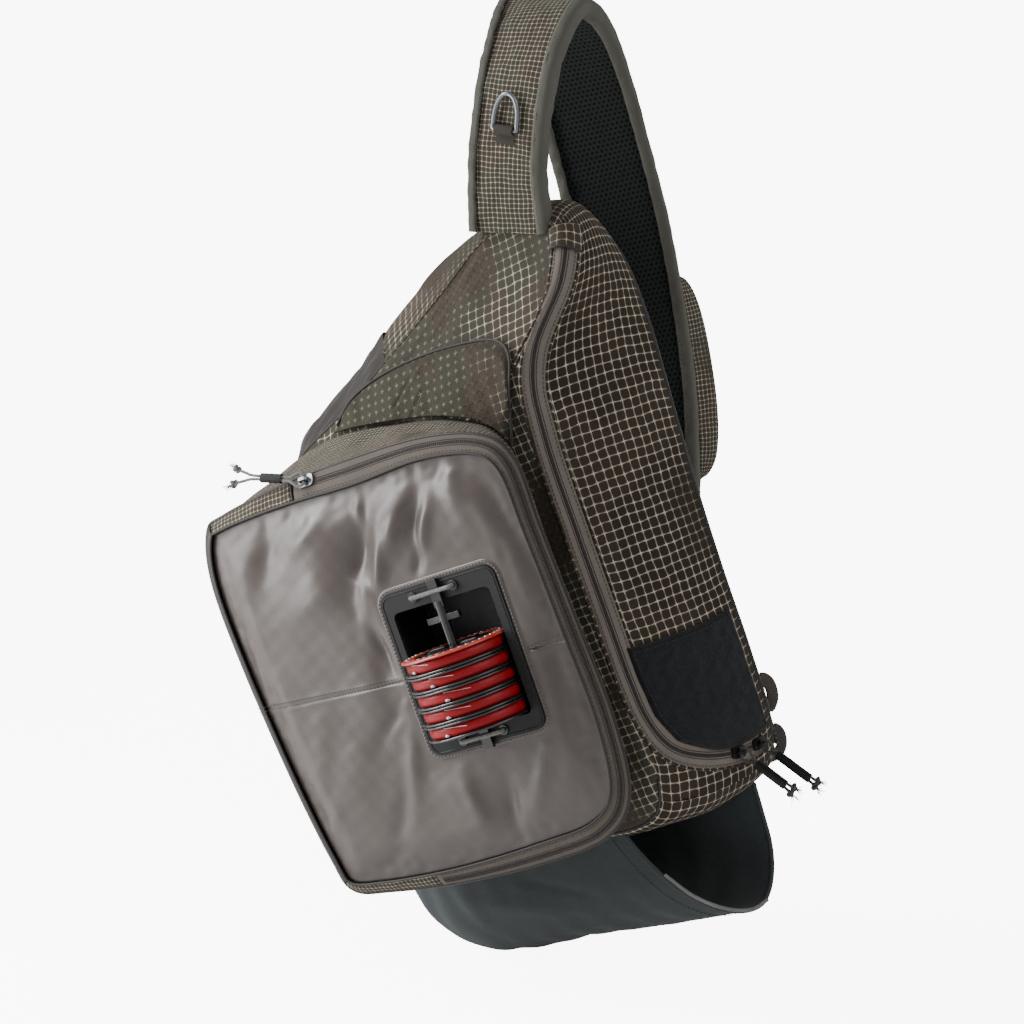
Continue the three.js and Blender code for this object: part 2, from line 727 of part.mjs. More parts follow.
// upper flat pocket between its arch and the top seam of the front pocket
function upperPocket() {
  const topRows = { from: 7.0, to: 10.6 };
  const at = (distance) => (u, v) => {
    const low = pocketInset(mix(topRows.from, topRows.to, u), 0, -3);
    const high = rowAt(upperArch, u * (upperArch.length - 1), false);
    const x = mix(low.x, high.x * bagWidth, v);
    const z = mix(low.z, high.z * bagHeight, v);
    const edge = Math.min(1, 8 * Math.min(u, 1 - u, 1 - v));
    const thickness = distance ? mix(0.3, 1, edge) * distance : 0;
    return vec(x, -frontDepthAt(z) - 1.2 - thickness, z);
  };
  const pad = slab(16, 4, at(upperPocketThickness), at(0));
  return cut(pad, bodyClear);
}
add('upper_pocket', upperPocket(), ripstop);

// front pocket: gusset with its back wall, face panel, and the tape and piping between them
function frontPocket() {
  const outer = loft([pocketRing(0, 0), pocketRing(0.5, 0), pocketRing(1, 0)]);
  const inner = loft([
    pocketRing(0, clothWall, pocketBack - clothWall),
    pocketRing(0.5, clothWall),
    pocketRing(1, clothWall, pocketFront),
    pocketRing(1, clothWall, pocketFront - 10),
  ]);
  return cut(outer, toManifold(inner));
}
add('front_pocket', frontPocket(), ripstop);

// the strip between gusset and face panel, over a stretch of the outline
function faceStrip(from, to, count) {
  const at = (depth) => (u, v) => {
    const row = mix(from, to, u);
    const point = pocketInset(row, 1, mix(0, tapeWidthAt(row), v));
    return point.setY(mix(pocketFront - gap - clothWall, faceFront - clothWall, v) + depth);
  };
  return slab(count, 1, at(0), at(zipTapeThickness + 0.4));
}
add('front_zip_tape', faceStrip(tapeRows.from, tapeRows.to, 26), twill);
add('front_piping', faceStrip(tapeRows.to + 0.02, tapeRows.from + pocketOutline.length - 0.02, 20), darkCoated);

// the hole in the face panel that the dock's tray passes through
function recessHole() {
  const room = 2 * (recessWall + gap);
  const width = dockWidth - 2 * windowSide + room;
  const height = dockHeight - windowTop - windowBottom + room;
  const hole = plate(roundedRectangle(width, height, windowCorner + recessWall), 40, facePlane + 20);
  return hole.translate(0, 0, (windowBottom - windowTop) / 2).applyMatrix4(dockMatrix);
}

function facePanel() {
  const shares = [0, 0.06, 0.14, 0.25, 0.4, 0.58, 0.78];
  const perRow = 2;
  const count = pocketOutline.length * perRow;
  const side = (distance) => shares.map((share) => steps(count).map((i) => facePoint(i / perRow, share, distance)));
  const outer = side(0);
  const inner = side(-clothWall);
  const rings = [...inner.toReversed(), ...outer];
  return cut(loft(rings, facePoint(0, 1, -clothWall), facePoint(0, 1, 0)), toManifold(recessHole()));
}
add('front_panel', facePanel(), coated);

// dock: a plate with a window, a tray behind it, and all that it carries, in a frame of its own whose
// Y = 0 is the back of the plate
const dock = new THREE.Group();
dock.applyMatrix4(dockMatrix);
dock.position.y = facePlane - gap;
bag.add(dock);

const windowWidth = dockWidth - 2 * windowSide;
const windowHeight = dockHeight - windowTop - windowBottom;
const windowZ = (windowBottom - windowTop) / 2;
const barY = -dockThickness - gap - barTab / 2;
const topCordZ = (dockHeight - windowTop) / 2;
const bottomCordZ = -(dockHeight - windowBottom) / 2;
const eyeletPlaces = [topCordZ, bottomCordZ].flatMap((z) => [-1, 1].map((side) => ({ side, z })));
const eyeletX = (side) => dockCordX + (side * dockCordSpan) / 2;

function roundHole(x, z, radius) {
  return new THREE.Path().absarc(x, z, radius, 0, 2 * Math.PI, true);
}

function shifted(shape, x, z) {
  return shape.getPoints().map((p) => p.clone().add(new THREE.Vector2(x, z)));
}

function dockPlate() {
  const shape = roundedRectangle(dockWidth, dockHeight, dockCorner);
  shape.holes.push(new THREE.Path(shifted(roundedRectangle(windowWidth, windowHeight, windowCorner), 0, windowZ)));
  eyeletPlaces.forEach(({ side, z }) => shape.holes.push(roundHole(eyeletX(side), z, eyeletRadius - 1)));
  return plate(shape, dockThickness, 0);
}
add('dock_panel', dockPlate(), rubber, dock);

function recessTray() {
  const outer = roundedRectangle(windowWidth + 2 * recessWall, windowHeight + 2 * recessWall, windowCorner + recessWall);
  const inner = roundedRectangle(windowWidth, windowHeight, windowCorner);
  const block = plate(outer, recessDepth - gap, recessDepth);
  const hollow = plate(inner, recessDepth, recessDepth - recessWall);
  return cut(block, toManifold(hollow)).translate(0, 0, windowZ);
}
add('dock_recess', recessTray(), rubber, dock);

// eyelet rings on the plate
eyeletPlaces.forEach(({ side, z }, i) => {
  const shape = new THREE.Shape().absarc(eyeletX(side), z, eyeletRadius, 0, 2 * Math.PI);
  shape.holes.push(roundHole(eyeletX(side), z, dockCordRadius + gap));
  add(`dock_eyelet_${i + 1}`, plate(shape, 0.9, -dockThickness - gap), blackPlastic, dock);
});

// elastic cords: out of one eyelet, over the bar's tab and into the other eyelet
[topCordZ, bottomCordZ].forEach((z, i) => {
  const over = barY - barTab / 2 - gap - dockCordRadius;
  const half = [[1, -gap], [1, -3.2], [0.98, over + 1.6], [0.87, over + 0.35], [0.5, over]];
  const points = half.map(([share, y]) => vec(-share * dockCordSpan / 2, y, 0));
  points.push(vec(0, over, 0), ...half.toReversed().map(([share, y]) => vec(share * dockCordSpan / 2, y, 0)));
  const route = points.map((p) => p.add(vec(dockCordX, 0, z)));
  add(i ? 'dock_cord_bottom' : 'dock_cord_top', tube(route, dockCordRadius, 8, 1), greyCord, dock);
});

// bar: a round post with a cross piece above the spools and a flat tab at each end
const windowFoot = windowZ - windowHeight / 2;
const stackBottom = windowFoot + 4 * gap;
const stackTop = stackBottom + spoolCount * spoolPitch;
const barTop = windowZ + windowHeight / 2 + barOverhang;
const barBottom = windowZ - windowHeight / 2 - barOverhang;

function post(radius, low, high, sides = 12) {
  const profile = [[0, low], [radius, low], [radius, high], [0, high]].map(([r, z]) => new THREE.Vector2(r, z));
  return new THREE.LatheGeometry(profile, sides).rotateX(Math.PI / 2);
}

function block(width, thickness, low, high) {
  return new THREE.BoxGeometry(width, thickness, high - low).translate(0, 0, (low + high) / 2);
}

function tippetBar() {
  const pieces = [
    block(barTabWidth, barTab, windowZ + windowHeight / 2 - 4, barTop),
    block(barTabWidth, barTab, barBottom, stackBottom - gap),
    block(crossWidth, barTab, stackTop + crossAbove, stackTop + crossAbove + 4),
  ];
  const rod = toManifold(post(barRadius, windowFoot + gap, windowZ + windowHeight / 2 - gap));
  return toGeometry(pieces.reduce((whole, piece) => whole.add(toManifold(piece)), rod)).translate(0, barY, 0);
}
add('tippet_bar', tippetBar(), blackPlastic, dock);

// spools of line on the bar, each with a stretch band round its line
function lathed(profile, sides) {
  const points = [...profile, profile[0]].map(([r, z]) => new THREE.Vector2(r, z));
  return new THREE.LatheGeometry(points, sides).rotateX(Math.PI / 2);
}
const spoolHeight = spoolPitch - gap;
const groove = [flangeThickness, spoolHeight - flangeThickness];

function spool() {
  const bore = barRadius + gap;
  return lathed([
    [bore, 0], [spoolRadius, 0], [spoolRadius, groove[0]], [hubRadius, groove[0]],
    [hubRadius, groove[1]], [spoolRadius, groove[1]], [spoolRadius, spoolHeight], [bore, spoolHeight],
  ], 16);
}

function spoolBand() {
  const [low, high] = [groove[0] + gap, groove[1] - gap];
  return lathed([[hubRadius + gap, low], [bandRadius, low], [bandRadius, high], [hubRadius + gap, high]], 16);
}
steps(spoolCount).forEach((i) => {
  const z = stackTop - (i + 1) * spoolPitch + gap / 2;
  add(`spool_${i + 1}`, spool().translate(0, barY, z), blackPlastic, dock);
  add(`spool_band_${i + 1}`, spoolBand().translate(0, barY, z), redBand, dock);
});

// bottle sleeve under the bag: a trough of stretch cloth, closed at its left end, with a slanting mouth.
// u runs from the left end to the mouth, v from the front seam under the bottle to the back seam
function sleevePoint(u, v, distance, pastMouth = 0) {
  const radius = bottleRadius + distance;
  const straight = sleeveTop - sleeveZ;
  const run = v * (2 * straight + Math.PI * radius);
  const angle = THREE.MathUtils.clamp((run - straight) / radius, 0, Math.PI);
  const y = -radius * Math.cos(angle);
  const above = Math.max(straight - run, run - straight - Math.PI * radius, 0);
  const z = above - radius * Math.sin(angle);
  const mouth = mix(mouthFront, mouthBack, THREE.MathUtils.smoothstep(v, -0.05, 0.55)) + pastMouth;
  const left = -sleeveLeft - distance;
  const x = mix(left, mouth, u ** 1.5);
  const round = THREE.MathUtils.clamp((x - left) / sleeveEnd, 0.01, 1);
  const swell = Math.sqrt(1 - (1 - round) ** 2);
  return vec(x, sleeveY + y * mix(0.45, 1, swell), sleeveTop + (sleeveZ + z - sleeveTop) * swell);
}

function sleeveForm(distance, pastMouth, pastTop) {
  const turns = 11;
  return loft(steps(13).map((i) => steps(turns + 1).map((j) => {
    const point = sleevePoint(i / 12, j / turns, distance, pastMouth);
    return j % turns ? point : point.add(vec(0, 0, pastTop));
  })));
}

function bottleSleeve() {
  return cut(sleeveForm(sleeveWall, 0, 0), toManifold(sleeveForm(0, 8, 8)), bodyClear);
}
add('bottle_sleeve', bottleSleeve(), stretch);

// elastic cord stretched across the mouth of the sleeve
const mouthPoint = (v) => sleevePoint(1, v, sleeveWall / 2).add(vec(sleeveCordRadius + 3 * gap, 0, 0));
add('sleeve_cord', tube(steps(5).map((i) => mouthPoint((i + 2) / 11)), sleeveCordRadius, 8, 2), greyCord);

// strap: padded core, mesh lining and the binding round both edges
const strapEnd = strapRoute.length - 1;
const halfCore = (frame) => frame.width / 2 - bindingThickness - 3 * gap;
const liningLow = -strapThickness / 2 - gap - strapLining;
add('strap', cut(
  alongStrap(0, strapEnd, 30, (frame) => boxSection(halfCore(frame), -strapThickness / 2, strapThickness / 2, 1.6)),
  bodyClear,
), ripstop);
add('strap_lining', cut(
  alongStrap(0, strapEnd, 30, (frame) => boxSection(-halfCore(frame), liningLow, liningLow + strapLining)),
  bodyClear,
), meshCloth);

function bindingSection(frame, side) {
  const edge = frame.width / 2;
  const [low, high] = [liningLow - strapEase - bindingThickness, strapThickness / 2 + strapEase + bindingThickness];
  const [inside, wall] = [edge - bindingWidth, edge - bindingThickness];
  const points = [
    [inside, low], [edge, low], [edge, high], [inside, high], [inside, high - bindingThickness],
    [wall, high - bindingThickness], [wall, low + bindingThickness], [inside, low + bindingThickness],
  ];
  return points.map(([across, out]) => [side * across, out]);
}
add('strap_binding_left', cut(alongStrap(0, strapEnd, 28, (frame) => bindingSection(frame, -1)), bodyClear), binding);
add('strap_binding_right', cut(alongStrap(0, strapEnd, 28, (frame) => bindingSection(frame, 1)), bodyClear), binding);

// pocket on the back of the strap: a cloth blister seated on the strap, hanging over its right edge
function strapPocket() {
  const seat = strapThickness / 2 + strapEase + bindingThickness + 2 * gap;
  const at = (inset) => (u, v) => {
    const frame = strapFrame(mix(strapPocketRows.from, strapPocketRows.to, u));
    const end = Math.abs(2 * u - 1);
    const swell = (1 - end ** 4) ** 0.6;
    const shape = rowAt(strapPocketSection, v * (strapPocketSection.length - 1), false);
    const across = shape.side * (frame.width / 2 - 1 - inset) + shape.over * strapPocketOver * swell;
    return frame.point.clone()
      .addScaledVector(frame.across, across)
      .addScaledVector(frame.run, (0.5 - u) * 2 * inset * end)
      .addScaledVector(frame.out, seat + Math.max(0, shape.height * (strapPocketDepth * swell - inset)));
  };
  return slab(10, 6, at(0), at(clothWall));
}
add('strap_pocket', strapPocket(), ripstop);

// ring on the front of the strap, and the webbing keeper that its bar turns in
function basis(origin, x, y, z) {
  return new THREE.Matrix4().makeBasis(x, y, z).setPosition(origin);
}
const ringSeat = strapFrame(ringRow);
const tunnel = ringWire + gap + keeperWall;
const keeperFoot = ringSeat.point.clone().addScaledVector(ringSeat.out, strapThickness / 2 + gap);
const ringMatrix = basis(
  keeperFoot.clone().addScaledVector(ringSeat.out, tunnel),
  ringSeat.across, ringSeat.run, ringSeat.out,
);

function keeper() {
  const meet = Math.asin((tunnel - keeperWall) / tunnel);
  const shape = new THREE.Shape();
  shape.moveTo(-keeperTail, 0);
  shape.lineTo(0, 0);
  shape.absarc(0, tunnel, tunnel, -Math.PI / 2, Math.PI + meet, false);
  shape.lineTo(-keeperTail, keeperWall);
  shape.closePath();
  shape.holes.push(roundHole(0, tunnel, ringWire + gap));
  const geometry = new THREE.ExtrudeGeometry(shape, { depth: keeperWidth, bevelEnabled: false, curveSegments: 5 });
  geometry.translate(0, 0, -keeperWidth / 2);
  return geometry.applyMatrix4(basis(keeperFoot, ringSeat.run, ringSeat.out, ringSeat.across));
}
add('ring_keeper', keeper(), twill);

// a wire that closes on itself, lying in its own X and Y plane
function closedWire(points, radius, sides = 8) {
  const n = points.length;
  const corners = points.map((point, i) => {
    const run = points[(i + 1) % n].clone().sub(points[(i + n - 1) % n]).normalize();
    const side = vec(run.y, -run.x, 0);
    return steps(sides).map((k) => {
      const angle = (k / sides) * 2 * Math.PI;
      return point.clone().addScaledVector(side, radius * Math.cos(angle)).add(vec(0, 0, radius * Math.sin(angle)));
    });
  });
  const faces = steps(n).flatMap((i) => steps(sides).flatMap((k) => {
    const [a, b] = [i * sides, ((i + 1) % n) * sides];
    const j = (k + 1) % sides;
    return [[a + k, a + j, b + j], [a + k, b + j, b + k]];
  }));
  return solidFrom(corners.flat(), faces);
}

function dRing() {
  const half = ringWidth / 2;
  const arch = steps(11).map((i) => {
    const angle = (i / 10) * Math.PI;
    return vec(half * Math.cos(angle), 3 + (ringHeight - 3) * Math.sin(angle) ** 0.8, 0);
  });
  const bar = [[-half, 1.2], [-half + 1.2, 0], [0, 0], [half - 1.2, 0], [half, 1.2]].map(([x, y]) => vec(x, y, 0));
  return closedWire([...arch, ...bar], ringWire);
}
add('d_ring', dRing().applyMatrix4(ringMatrix), metal);

// buckle at the end of the padded strap, webbing, and the wing that it is sewn to
const strapTip = strapFrame(strapEnd);
const buckleMiddle = strapTip.point.clone().addScaledVector(strapTip.run, gap + buckleLength / 2);
add('strap_buckle', new THREE.BoxGeometry(buckleWidth, buckleLength, buckleThickness)
  .applyMatrix4(basis(buckleMiddle, strapTip.across, strapTip.run, strapTip.out)), blackPlastic);

const shareOfBag = ({ x, y, z }) => vec(x * bagWidth, y, z * bagHeight);

// a flat ribbon through stations that each give a middle and a direction across
function ribbon(stations, width, thickness) {
  const rings = stations.map(({ point, across }, i) => {
    const before = stations[Math.max(i - 1, 0)].point;
    const after = stations[Math.min(i + 1, stations.length - 1)].point;
    const run = after.clone().sub(before).normalize();
    const face = run.clone().cross(across).normalize();
    const side = face.clone().cross(run);
    return [[-1, -1], [1, -1], [1, 1], [-1, 1]].map(([a, b]) => point.clone()
      .addScaledVector(side, (a * width) / 2).addScaledVector(face, (b * thickness) / 2));
  });
  return loft(rings);
}

// the wing: a double layer of cloth sewn to the back edge of the bag
function strapWing(grown = 0) {
  const corner = Object.fromEntries(Object.entries(wing).map(([name, place]) => [name, shareOfBag(place)]));
  const face = corner.tipLow.clone().sub(corner.seamLow).cross(corner.seamHigh.clone().sub(corner.seamLow)).normalize();
  const at = (side) => (u, v) => {
    const wide = mix(-grown / 10, 1 + grown / 10, v);
    const seam = corner.seamLow.clone().lerp(corner.seamHigh, wide);
    const tip = corner.tipLow.clone().lerp(corner.tipHigh, wide);
    return seam.lerp(tip, u).addScaledVector(face, side * (webThickness / 2 + grown));
  };
  return cut(slab(4, 2, at(1), at(-1)), bodyClear, padClear);
}
add('strap_wing', strapWing(), ripstop);

// webbing that leaves the buckle along the strap and comes to the wing along the wing
function lowerStrap() {
  const middle = (a, b) => shareOfBag(a).lerp(shareOfBag(b), 0.5);
  const wingTip = middle(wing.tipLow, wing.tipHigh);
  const tipAcross = shareOfBag(wing.tipHigh).sub(shareOfBag(wing.tipLow)).normalize();
  const wingRun = wingTip.clone().sub(middle(wing.seamLow, wing.seamHigh)).normalize();
  const start = buckleMiddle.clone().addScaledVector(strapTip.run, webThickness + 1.5 + buckleLength / 2);
  const end = wingTip.clone().addScaledVector(wingRun, 3);
  const lead = start.distanceTo(end) * webLead;
  const curve = new THREE.CubicBezierCurve3(
    start, start.clone().addScaledVector(strapTip.run, lead), end.clone().addScaledVector(wingRun, lead), end,
  );
  const stations = curve.getPoints(10).map((point, i) => ({
    point, across: strapTip.across.clone().lerp(tipAcross, i / 10).normalize(),
  }));
  return ribbon(stations, webWidth, webThickness);
}
add('lower_strap', lowerStrap(), binding);

function smallLoop(route, width) {
  const curve = new THREE.CatmullRomCurve3(route.map(shareOfBag), false, 'centripetal');
  const stations = curve.getPoints(14).map((point) => ({ point, across: vec(0.5, 1, 0).normalize() }));
  return cut(ribbon(stations, width, webThickness), bodyClear, padClear, toManifold(strapWing(gap)));
}
add('web_loop', smallLoop(webLoopRoute, 9), twill);
add('corner_loop', smallLoop(cornerLoopRoute, 8), binding);

// zip slider: a plate with a bridge on it, along X, with its Z out of the tape
function zipSlider(matrix) {
  const side = new THREE.Shape([[-2.8, 0], [2.8, 0], [2.8, 0.8], [3.6, 1.4], [3.6, 4.8], [2.4, bridgeHeight],
    [-2.4, bridgeHeight], [-3.6, 4.8], [-3.6, 1.4], [-2.8, 0.8]].map(([x, z]) => new THREE.Vector2(x, z)));
  side.holes.push(new THREE.Path([[-2.7, sliderBase + 0.2], [-2.7, 5.4], [2.7, 5.4], [2.7, sliderBase + 0.2]]
    .map(([x, z]) => new THREE.Vector2(x, z))));
  const bridge = new THREE.ExtrudeGeometry(side, { depth: bridgeWidth, bevelEnabled: false })
    .rotateX(Math.PI / 2).translate(0, bridgeWidth / 2, 0);
  const base = new THREE.ExtrudeGeometry(
    roundedRectangle(sliderLength, sliderWidth, 2.4, 3), { depth: sliderBase, bevelEnabled: false },
  );
  const whole = toManifold(base).add(toManifold(bridge));
  return toGeometry(whole).applyMatrix4(matrix);
}

// a slider on its tape with a doubled cord through its bridge and a tube over both strands
function zipPull(name, seat, direction, cordLength, tubeFrom, tubeTo, sliderFinish, tubeFinish) {
  const out = seat.out;
  const matrix = basis(seat.point, seat.run, out.clone().cross(seat.run), out);
  add(`${name}_slider`, zipSlider(matrix), sliderFinish);
  const eye = seat.point.clone().addScaledVector(out, 3.75);
  const beside = out.clone().cross(seat.run).normalize();
  const apart = beside.clone().addScaledVector(direction, -beside.dot(direction)).normalize();
  const strand = (side) => [[cordLength, pullCordApart, 0], [12, pullCordApart, 0], [7, 2.6, 0.8], [3, 4.4, 0.4]]
    .map(([along, off, up]) => eye.clone()
      .addScaledVector(direction, along).addScaledVector(apart, side * off).addScaledVector(out, up));
  const bend = [2.6, 0, -2.6].map((side) => eye.clone().addScaledVector(beside, side));
  const route = [...strand(1), ...bend, ...strand(-1).toReversed()];
  add(`${name}_cord`, tube(route, pullCordRadius, 8, 1), greyCord);
  const [wide, high] = [pullCordApart + pullCordRadius + gap, pullCordRadius + gap];
  const section = roundedRectangle(2 * (wide + pullTubeWall), 2 * (high + pullTubeWall), high, 3);
  section.holes.push(new THREE.Path(roundedRectangle(2 * wide, 2 * high, high - 0.1, 3).getPoints()));
  const sleeve = new THREE.ExtrudeGeometry(section, { depth: tubeTo - tubeFrom, bevelEnabled: false });
  const start = eye.clone().addScaledVector(direction, tubeFrom);
  add(`${name}_tube`, sleeve.applyMatrix4(basis(start, apart, direction.clone().cross(apart), direction)), tubeFinish);
}

function zipSeat(share) {
  const place = zipPlace(share);
  return { ...place, point: place.point.addScaledVector(place.out, zipTapeThickness / 2 + gap) };
}
const pullDown = vec(0.70, -0.1, -0.70).normalize();
zipPull('main_zip_front', zipSeat(0.925), pullDown, 40, 13, 37, blackPlastic, blackPlastic);
zipPull('main_zip_back', zipSeat(0.985), pullDown, 43, 13, 40, blackPlastic, blackPlastic);

const frontSeat = (() => {
  const row = tapeRows.from + 0.22;
  const width = tapeWidthAt(row);
  const middle = pocketInset(row, 1, 0.3 * width).setY(mix(pocketFront, faceFront, 0.3) - gap - clothWall);
  const run = pocketEdge(row + 0.1, 1).sub(pocketEdge(row - 0.1, 1)).normalize();
  const slope = vec(0, -tapeSlope, 0).add(pocketInset(row, 1, width)).sub(pocketInset(row, 1, 0)).normalize();
  const out = slope.cross(run).normalize();
  return { point: middle.addScaledVector(out, gap), run, out };
})();
zipPull('front_zip', frontSeat, vec(-0.955, -0.05, 0.27).normalize(), 48, 16, 31, metal, blackPlastic);

// hang the bag: slanted, with the underside of the strap's top at the origin
const underside = steps(101).map((i) => {
  const frame = strapFrame(3 + (i / 100) * 5);
  return frame.point.addScaledVector(frame.out, liningLow);
});
const lift = (point) => point.x * Math.sin(turned(hangTilt)) + point.z * Math.cos(turned(hangTilt));
const hook = underside.reduce((best, point) => (lift(point) > lift(best) ? point : best));
bag.rotation.y = -turned(hangTilt);
bag.position.copy(hook).applyEuler(bag.rotation).negate();

const slingBag = new THREE.Group();
slingBag.add(bag);
export default slingBag;
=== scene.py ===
# Looks of the fishing tackle sling bag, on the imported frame.
# Points are worked out in millimetres in the bag's own upright frame, with X to the right seen from
# the front, Y to the back and Z up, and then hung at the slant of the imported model.
import math

import bmesh
import bpy
import numpy as np
from mathutils import Matrix, Vector


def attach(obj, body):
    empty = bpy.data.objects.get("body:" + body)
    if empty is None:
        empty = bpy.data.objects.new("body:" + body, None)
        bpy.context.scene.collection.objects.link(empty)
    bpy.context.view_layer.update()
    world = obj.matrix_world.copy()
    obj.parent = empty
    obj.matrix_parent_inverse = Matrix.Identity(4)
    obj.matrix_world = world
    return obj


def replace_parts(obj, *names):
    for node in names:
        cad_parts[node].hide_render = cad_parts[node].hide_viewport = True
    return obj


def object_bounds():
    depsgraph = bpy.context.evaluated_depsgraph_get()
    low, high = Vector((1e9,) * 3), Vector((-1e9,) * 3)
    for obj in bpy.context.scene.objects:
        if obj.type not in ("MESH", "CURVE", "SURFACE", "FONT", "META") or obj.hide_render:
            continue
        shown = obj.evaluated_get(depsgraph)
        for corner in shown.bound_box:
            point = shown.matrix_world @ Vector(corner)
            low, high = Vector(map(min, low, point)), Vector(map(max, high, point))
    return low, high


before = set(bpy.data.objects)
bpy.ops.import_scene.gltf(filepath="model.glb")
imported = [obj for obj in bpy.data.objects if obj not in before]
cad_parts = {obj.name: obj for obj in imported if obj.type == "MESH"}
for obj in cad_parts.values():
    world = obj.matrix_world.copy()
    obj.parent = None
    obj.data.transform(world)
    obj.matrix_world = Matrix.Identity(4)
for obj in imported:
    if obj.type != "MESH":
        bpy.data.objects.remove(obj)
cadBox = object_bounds()

# camera at the photograph's viewing angle: it sees target at the pixel that the shifts stand for
cameraSettings = dict(
    azimuth=28, elevation=14, distance=1.8, pixelLength=2769.2, target=(41, -90, 190), pixel=(520, 560),
)
hang = dict(tilt=18.5, offset=(53.75, -5.63, -536.95))


def place(points):
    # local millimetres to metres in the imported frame
    p = np.asarray(points, float)
    t = math.radians(hang["tilt"])
    x = p[..., 0] * math.cos(t) - p[..., 2] * math.sin(t)
    z = p[..., 0] * math.sin(t) + p[..., 2] * math.cos(t)
    return (np.stack([x, p[..., 1], z], -1) + hang["offset"]) / 1000


def makeCamera():
    # camera at target + back * distance, where back is the direction of the two angles
    a, e = math.radians(cameraSettings["azimuth"]), math.radians(cameraSettings["elevation"])
    right = Vector((math.cos(a), math.sin(a), 0))
    back = Vector((math.sin(a) * math.cos(e), -math.cos(a) * math.cos(e), math.sin(e)))
    up = back.cross(right)
    data = bpy.data.cameras.new("camera")
    data.sensor_width = 36
    data.lens = cameraSettings["pixelLength"] / 1024 * 36
    data.shift_x = (512 - cameraSettings["pixel"][0]) / 1024
    data.shift_y = (cameraSettings["pixel"][1] - 512) / 1024
    data.clip_end = 50
    camera = bpy.data.objects.new("camera", data)
    spot = Vector(place(cameraSettings["target"])) + back * cameraSettings["distance"]
    camera.matrix_world = Matrix((
        (right.x, up.x, back.x, spot.x), (right.y, up.y, back.y, spot.y),
        (right.z, up.z, back.z, spot.z), (0, 0, 0, 1),
    ))
    bpy.context.scene.collection.objects.link(camera)
    bpy.context.scene.camera = camera


makeCamera()

# main sizes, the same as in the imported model
bag = dict(width=276, height=402, depth=105, taper=0.55, taperFrom=0.71, gap=0.3, wall=2)
pocket = dict(depth=56, slope=7, inset=8, dome=7)
tape = dict(width=17, thickness=1.4)
dock = dict(
    width=88, height=108, thickness=1.8, corner=8, x=31, z=145, turn=3.5, windowSide=7, windowTop=13,
    windowBottom=11, windowCorner=4, recess=38, spoolRadius=35, spoolCount=5, pitch=10.7, flange=1.6,
    bandRadius=32.6, hubRadius=25, barRadius=3.2, tab=3, tabWidth=7, overhang=14, crossWidth=24,
    crossAbove=16, cordRadius=1.5, cordSpan=31, cordX=-2.5, eyeletRadius=3.4,
)
sleeve = dict(radius=39, wall=1.8, y=-57, z=-31, top=6, left=122, end=62, mouthFront=60, mouthBack=122)
strap = dict(width=60, thickness=6, lining=2, ease=1.1, rise=131, reach=78, binding=7.5, bindingWall=1.2)

# outline of the bag as shares of its width and height: back x and z, front x and z
bodyOutline = np.array([
    [-0.384, 0.010, -0.355, 0.015],
    [-0.435, 0.065, -0.406, 0.075],
    [-0.457, 0.224, -0.428, 0.229],
    [-0.471, 0.448, -0.435, 0.448],
    [-0.486, 0.634, -0.428, 0.634],
    [-0.476, 0.752, -0.355, 0.721],
    [-0.348, 0.828, -0.210, 0.779],
    [-0.168, 0.910, -0.051, 0.858],
    [0.010, 0.975, 0.094, 0.935],
    [0.174, 1.000, 0.203, 0.988],
    [0.304, 1.007, 0.319, 0.998],
    [0.406, 0.985, 0.409, 0.973],
    [0.467, 0.900, 0.406, 0.891],
    [0.486, 0.791, 0.333, 0.791],
    [0.486, 0.652, 0.315, 0.652],
    [0.486, 0.498, 0.326, 0.498],
    [0.493, 0.348, 0.341, 0.348],
    [0.504, 0.211, 0.355, 0.211],
    [0.504, 0.085, 0.366, 0.085],
    [0.449, 0.015, 0.319, 0.015],
    [0.217, 0.000, 0.145, 0.000],
    [-0.145, 0.000, -0.145, 0.000],
])
# section from the middle of the back round the edge to the middle of the front: across, inset, depth
bodyProfile = np.array([
    [0.00, 1.000, 0.000],
    [0.00, 0.500, 0.000],
    [0.00, 0.070, 0.000],
    [0.00, 0.014, 0.020],
    [0.03, -0.008, 0.080],
    [0.25, -0.030, 0.300],
    [0.52, -0.034, 0.560],
    [0.80, -0.022, 0.800],
    [0.97, 0.000, 0.930],
    [1.00, 0.045, 0.990],
    [1.00, 0.150, 1.000],
    [1.00, 0.550, 1.000],
    [1.00, 1.000, 1.000],
])
bodyMiddle = dict(x=0.02, z=0.52)
wallRings = (4, 8)
# line of the main zip: row of the outline, and share of the way to the front
zipPath = np.array([
    [11.15, 0.90], [11.7, 1.00], [12.5, 1.00], [13.3, 1.00], [14.2, 1.00], [15.1, 1.00], [16.0, 1.00],
    [16.7, 1.00], [17.2, 0.96], [17.55, 0.84], [17.8, 0.62], [17.95, 0.38], [18.02, 0.14],
])
